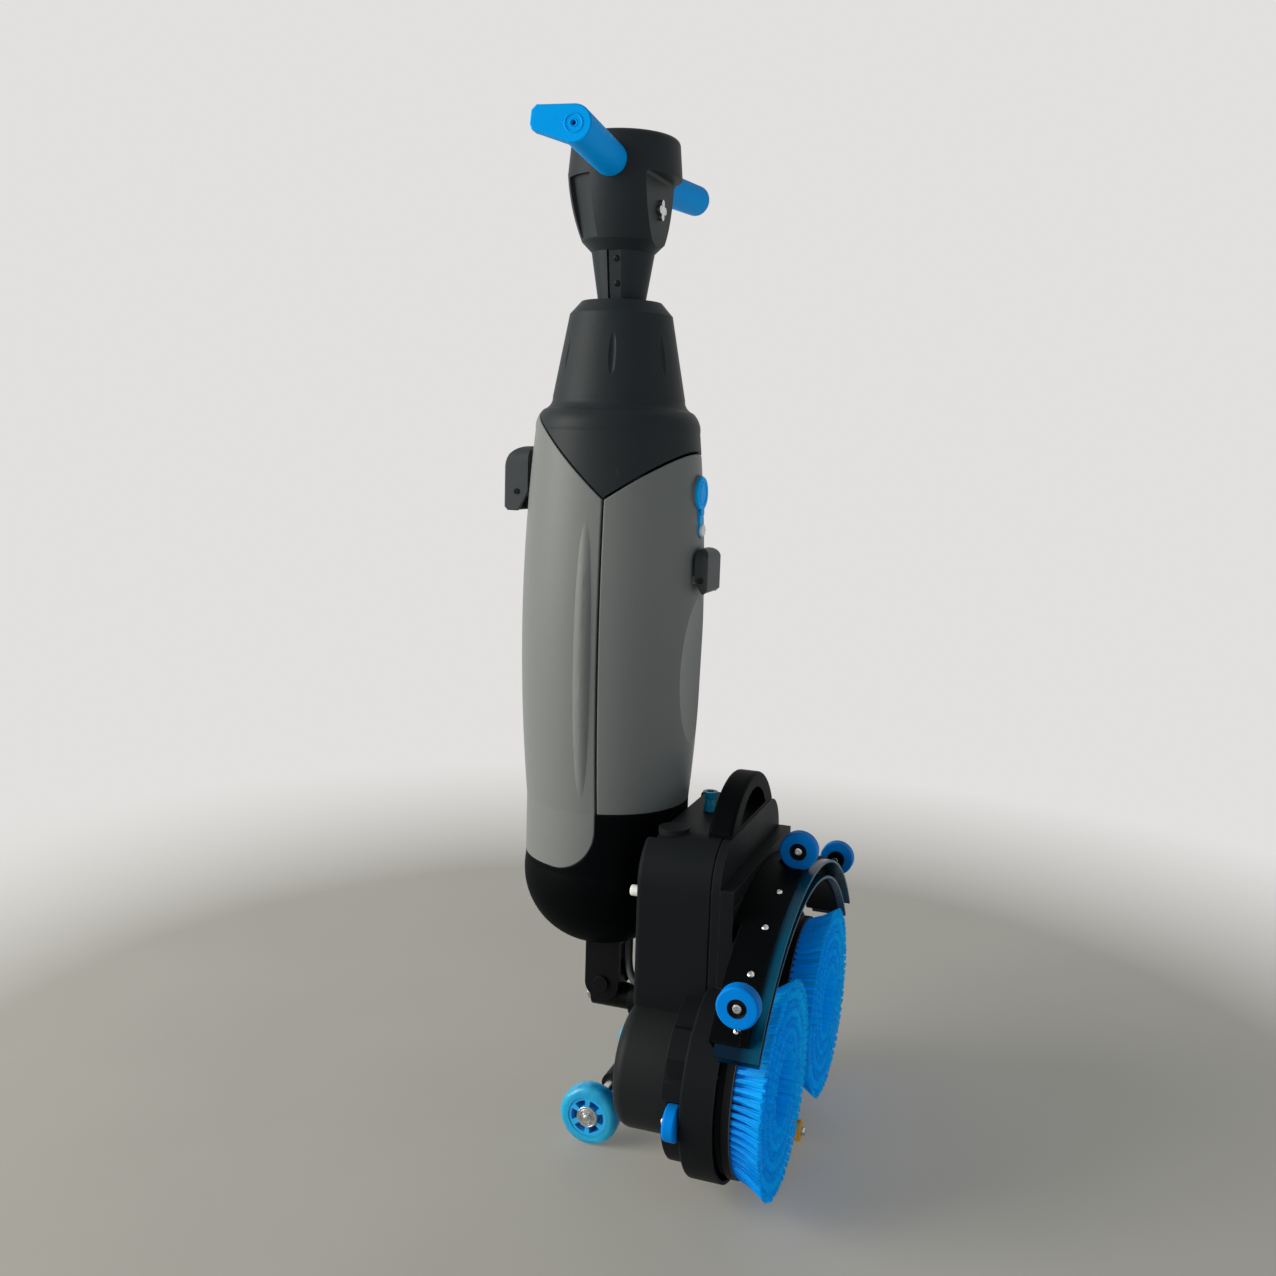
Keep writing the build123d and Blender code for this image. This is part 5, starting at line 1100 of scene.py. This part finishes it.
def crowned_nut(radius=0.0068, height=0.0045, stud=0.0034, stud_rise=0.0011, dip=0.0004, edge=0.0006):
    """A hexagon nut along Z with a chamfered crown and the end of its stud."""
    tip = height + stud_rise
    bm = spun([
        (0, tip), (stud - edge, tip), (stud, tip - edge), (stud, height - dip), (0.8 * radius, height),
        (radius, height - 2 * edge), (radius, edge), (0.9 * radius, 0), (0, 0),
    ])
    return hexed(bm, radius)


def collar(radius=0.011, length=0.005, edge=0.001, inset=0.0006):
    """A round collar along minus Z from zero, with its far edge chamfered."""
    return spun([(0, 0), (radius, 0), (radius, edge - length), (radius - inset, -length), (0, -length)])


axle_low, axle_high, axle_middle = middle_of("transport_axle")
axle_parts = []
for side, out in (("left", -along_y), ("right", along_y)):
    hub_low, hub_high, hub_middle = middle_of(side + "_wheel_hub")
    body = side + "_transport_wheel"
    half_width = (hub_high.y - hub_low.y) / 2
    centre = Vector((axle_middle.x, hub_middle.y, axle_middle.z))
    outside = centre + out * half_width
    inside = centre - out * (half_width + collar_gap)
    piece(side + "_rim_teeth", moved(rim_teeth(), centre, out), body, "hub_blue")
    piece(side + "_bearing", moved(bearing(), outside, out), body, "steel")
    axle_parts += [moved(crowned_nut(), outside, out), moved(collar(), inside, out)]
half_reach = (axle_high.y - axle_low.y) / 2 - axle_end
bar = spun([(0, -half_reach), (axle_radius, -half_reach), (axle_radius, half_reach), (0, half_reach)])
axle_parts.append(moved(bar, axle_middle, along_y))
axle = piece("wheel_axle", joined(axle_parts), "deck", "steel")
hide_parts("transport_axle")

# %% [markdown]
# ## Latch pins
#
# Both tank latches swing on a pin that ends in a black cap on each cheek. The cap is the bolt head
# again, only lower. Its place is the latch's own joint, and a ray from the side, just past the pin,
# tells how far out the cheek lies.

# %% Latch pins
pin_clear = 0.0032
pin_gap = 0.0001
joints = {joint["name"]: joint for joint in frame["record"]["behaviour"]["joints"]}
for name in ("front_latch", "rear_latch"):
    pivot = Vector(joints[name + "_swing"]["pos_m"])
    caps = []
    for out in (-along_y, along_y):
        cheek = hit(name, (pivot.x, 0, pivot.z + pin_clear), out)[0]
        seat = Vector((pivot.x, cheek.y, pivot.z)) + out * pin_gap
        cap = socket_head(radius=0.0034, height=0.0012, socket=0.0018, depth=0.0009)
        caps.append(moved(cap, seat, out))
    piece(name + "_pin_caps", joined(caps), name, "black_metal")

# %% [markdown]
# ## Control panel
#
# The panel on top of the head isn't seen in the photograph. It gets what such a panel usually has: a
# raised bezel, a dark display window, a row of small lamps and a ring round each button. The window
# starts as a cube, and two bevels round it: first its corners, then its upper edge.

# %% Bezel and window
def rounded_plate(length, width, height, corner, edge):
    """A plate on the XY plane with round corners and a soft upper edge."""
    bm = bmesh.new()
    bmesh.ops.create_cube(bm, size=1)
    bmesh.ops.scale(bm, vec=(length, width, height), verts=bm.verts)
    bmesh.ops.translate(bm, vec=(0, 0, height / 2), verts=bm.verts)
    upright = [item for item in bm.edges if abs(item.verts[0].co.z - item.verts[1].co.z) > height / 2]
    softened(bm, upright, corner, segments=6)
    upper = [item for item in bm.edges if all(vert.co.z > height - weld_distance for vert in item.verts)]
    return softened(bm, upper, edge, segments=2)


bezel_margin = 0.0006
bezel_width = 0.0029
window_offset = Vector((0.016, 0, -0.0003))
panel_low, panel_high, panel_middle = middle_of("control_panel")
bezel_outer = (panel_high.y - panel_low.y) / 2 - bezel_margin
top = Vector((panel_middle.x, panel_middle.y, panel_high.z))
bezel = raised_ring(bezel_outer - bezel_width, bezel_outer, height=0.0008)
piece("panel_bezel", moved(bezel, top), "column", "charcoal_plastic")
window = rounded_plate(length=0.02, width=0.044, height=0.0011, corner=0.003, edge=0.0004)
piece("panel_window", moved(window, top + window_offset), "column", "panel_plastic")

# %% Lamps and button rings
lamp_count = 4
lamp_pitch = 0.009
lamp_forward = 0.001
lamp_outline = [(0, 0.0008), (0.0008, 0.0007), (0.0014, 0.0002), (0.0015, -0.0003), (0, -0.0003)]
lamp_parts = []
for index in range(lamp_count):
    offset = Vector((lamp_forward, lamp_pitch * (index - (lamp_count - 1) / 2), 0))
    lamp_parts.append(moved(spun(lamp_outline, steps=20), top + offset))
piece("panel_lamps", joined(lamp_parts), "column", "button_plastic")
for name in ("power_button", "mode_button"):
    middle = middle_of(name)[2]
    ring = raised_ring(inner=0.0092, outer=0.0104, height=0.0006)
    piece(name + "_ring", moved(ring, (middle.x, middle.y, panel_high.z)), "column", "charcoal_plastic")

# %% [markdown]
# ## Floor and light
#
# The photograph has a grey floor and a bright, plain wall, with daylight from the left. A wide floor
# disc that pales with distance gives the same tones from every side, and its faint glow keeps the
# machine's shadow light. A large soft lamp on the left is the window, a dimmer one on the right fills
# the shadows, and the world is a room with pale walls and a darker ceiling, so that upward faces stay
# dark.

# %% Floor
near_greys = ((0.238, 0.23, 0.207), (0.265, 0.257, 0.232))
far_grey = (0.7, 0.7, 0.69)
floor_glow = (0.131, 0.128, 0.115, 1)
wall_colour = (0.76, 0.75, 0.737, 1)
fade_start = 0.9
fade_end = 1.7


def mix_shaders(tree, share, first, second, output):
    """Lets a mask choose between two shaders for a tree's surface."""
    mix = add_node(tree, "MixShader", Fac=share)
    feed(mix.inputs[1], first)
    feed(mix.inputs[2], second)
    fill(tree.nodes[output], Surface=mix.outputs["Shader"])


floor_mesh = bpy.data.meshes.new("floor")
floor_bm = bmesh.new()
bmesh.ops.create_circle(floor_bm, cap_ends=True, segments=96, radius=12)
floor_bm.to_mesh(floor_mesh)
floor_bm.free()
floor = bpy.data.objects.new("floor", floor_mesh)
scene.collection.objects.link(floor)
floor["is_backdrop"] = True

floor_look, tree, shader = new_look(
    "floor", Roughness=0.55, Emission_Color=floor_glow, Emission_Strength=1.0
)
place = add_node(tree, "TexCoord").outputs["Object"]
far = stretched(tree, reckoned(tree, "VectorMath", "LENGTH", place), fade_start, fade_end)
grey = blended(tree, stretched(tree, noise(tree, 3.0, detail=6.0), 0.3, 0.7), *near_greys)
fill(shader, Base_Color=blended(tree, far, grey, far_grey))
paper = add_node(tree, "Emission", Color=wall_colour)
mix_shaders(tree, far, shader.outputs["BSDF"], paper.outputs["Emission"], "Material Output")
floor_mesh.materials.append(floor_look)
print("floor pales from", fade_start, "to", fade_end, "m")

# %% Room
wall_light = 0.44
ceiling_light = 0.12
world = bpy.data.worlds.new("room")
scene.world = world
world.use_nodes = True
tree = world.node_tree
aim = add_node(tree, "TexCoord").outputs["Generated"]
upward = add_node(tree, "SeparateXYZ", Vector=aim).outputs["Z"]
strength = stretched(tree, upward, 0.1, 0.8, wall_light, ceiling_light)
sky = fill(tree.nodes["Background"], Color=(0.86, 0.95, 1.0, 1), Strength=strength)
wall = add_node(tree, "Background", Color=wall_colour)
rays = add_node(tree, "LightPath").outputs
mirrored = reckoned(tree, "Math", "MAXIMUM", rays["Is Glossy Ray"], rays["Is Transmission Ray"])
seen = reckoned(tree, "Math", "MAXIMUM", rays["Is Camera Ray"], mirrored)
mix_shaders(tree, seen, sky.outputs["Background"], wall.outputs["Background"], "World Output")
print("room light", wall_light, "at the walls", ceiling_light, "above")


# %% Lamps
def soft_lamp(name, place, target, width, height, power, colour):
    """A rectangular lamp that faces a point."""
    data = bpy.data.lights.new(name, "AREA")
    data.shape = "RECTANGLE"
    data.size = width
    data.size_y = height
    data.energy = power
    data.color = colour
    lamp = bpy.data.objects.new(name, data)
    aim = Vector(target) - Vector(place)
    lamp.matrix_world = Matrix.Translation(place) @ aim.to_track_quat("-Z", "Y").to_matrix().to_4x4()
    scene.collection.objects.link(lamp)
    print("lamp", name, "of", power, "W")


soft_lamp(
    "window", place=(-3.2, -2.0, 1.7), target=(0, 0, 0.55), width=2.6, height=3.0, power=222,
    colour=(1.0, 0.97, 0.9),
)
soft_lamp(
    "far wall", place=(2.4, -0.6, 1.0), target=(0, 0, 0.4), width=1.6, height=1.6, power=5.5,
    colour=(0.92, 0.97, 1.0),
)

# %% [markdown]
# ## Measure and finish
#
# The pieces added here must not make the machine bigger than its CAD model, so the size of the box
# round everything shown is printed.

# %% Finish
low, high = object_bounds()
print("visual box", [round(value, 4) for value in high - low])
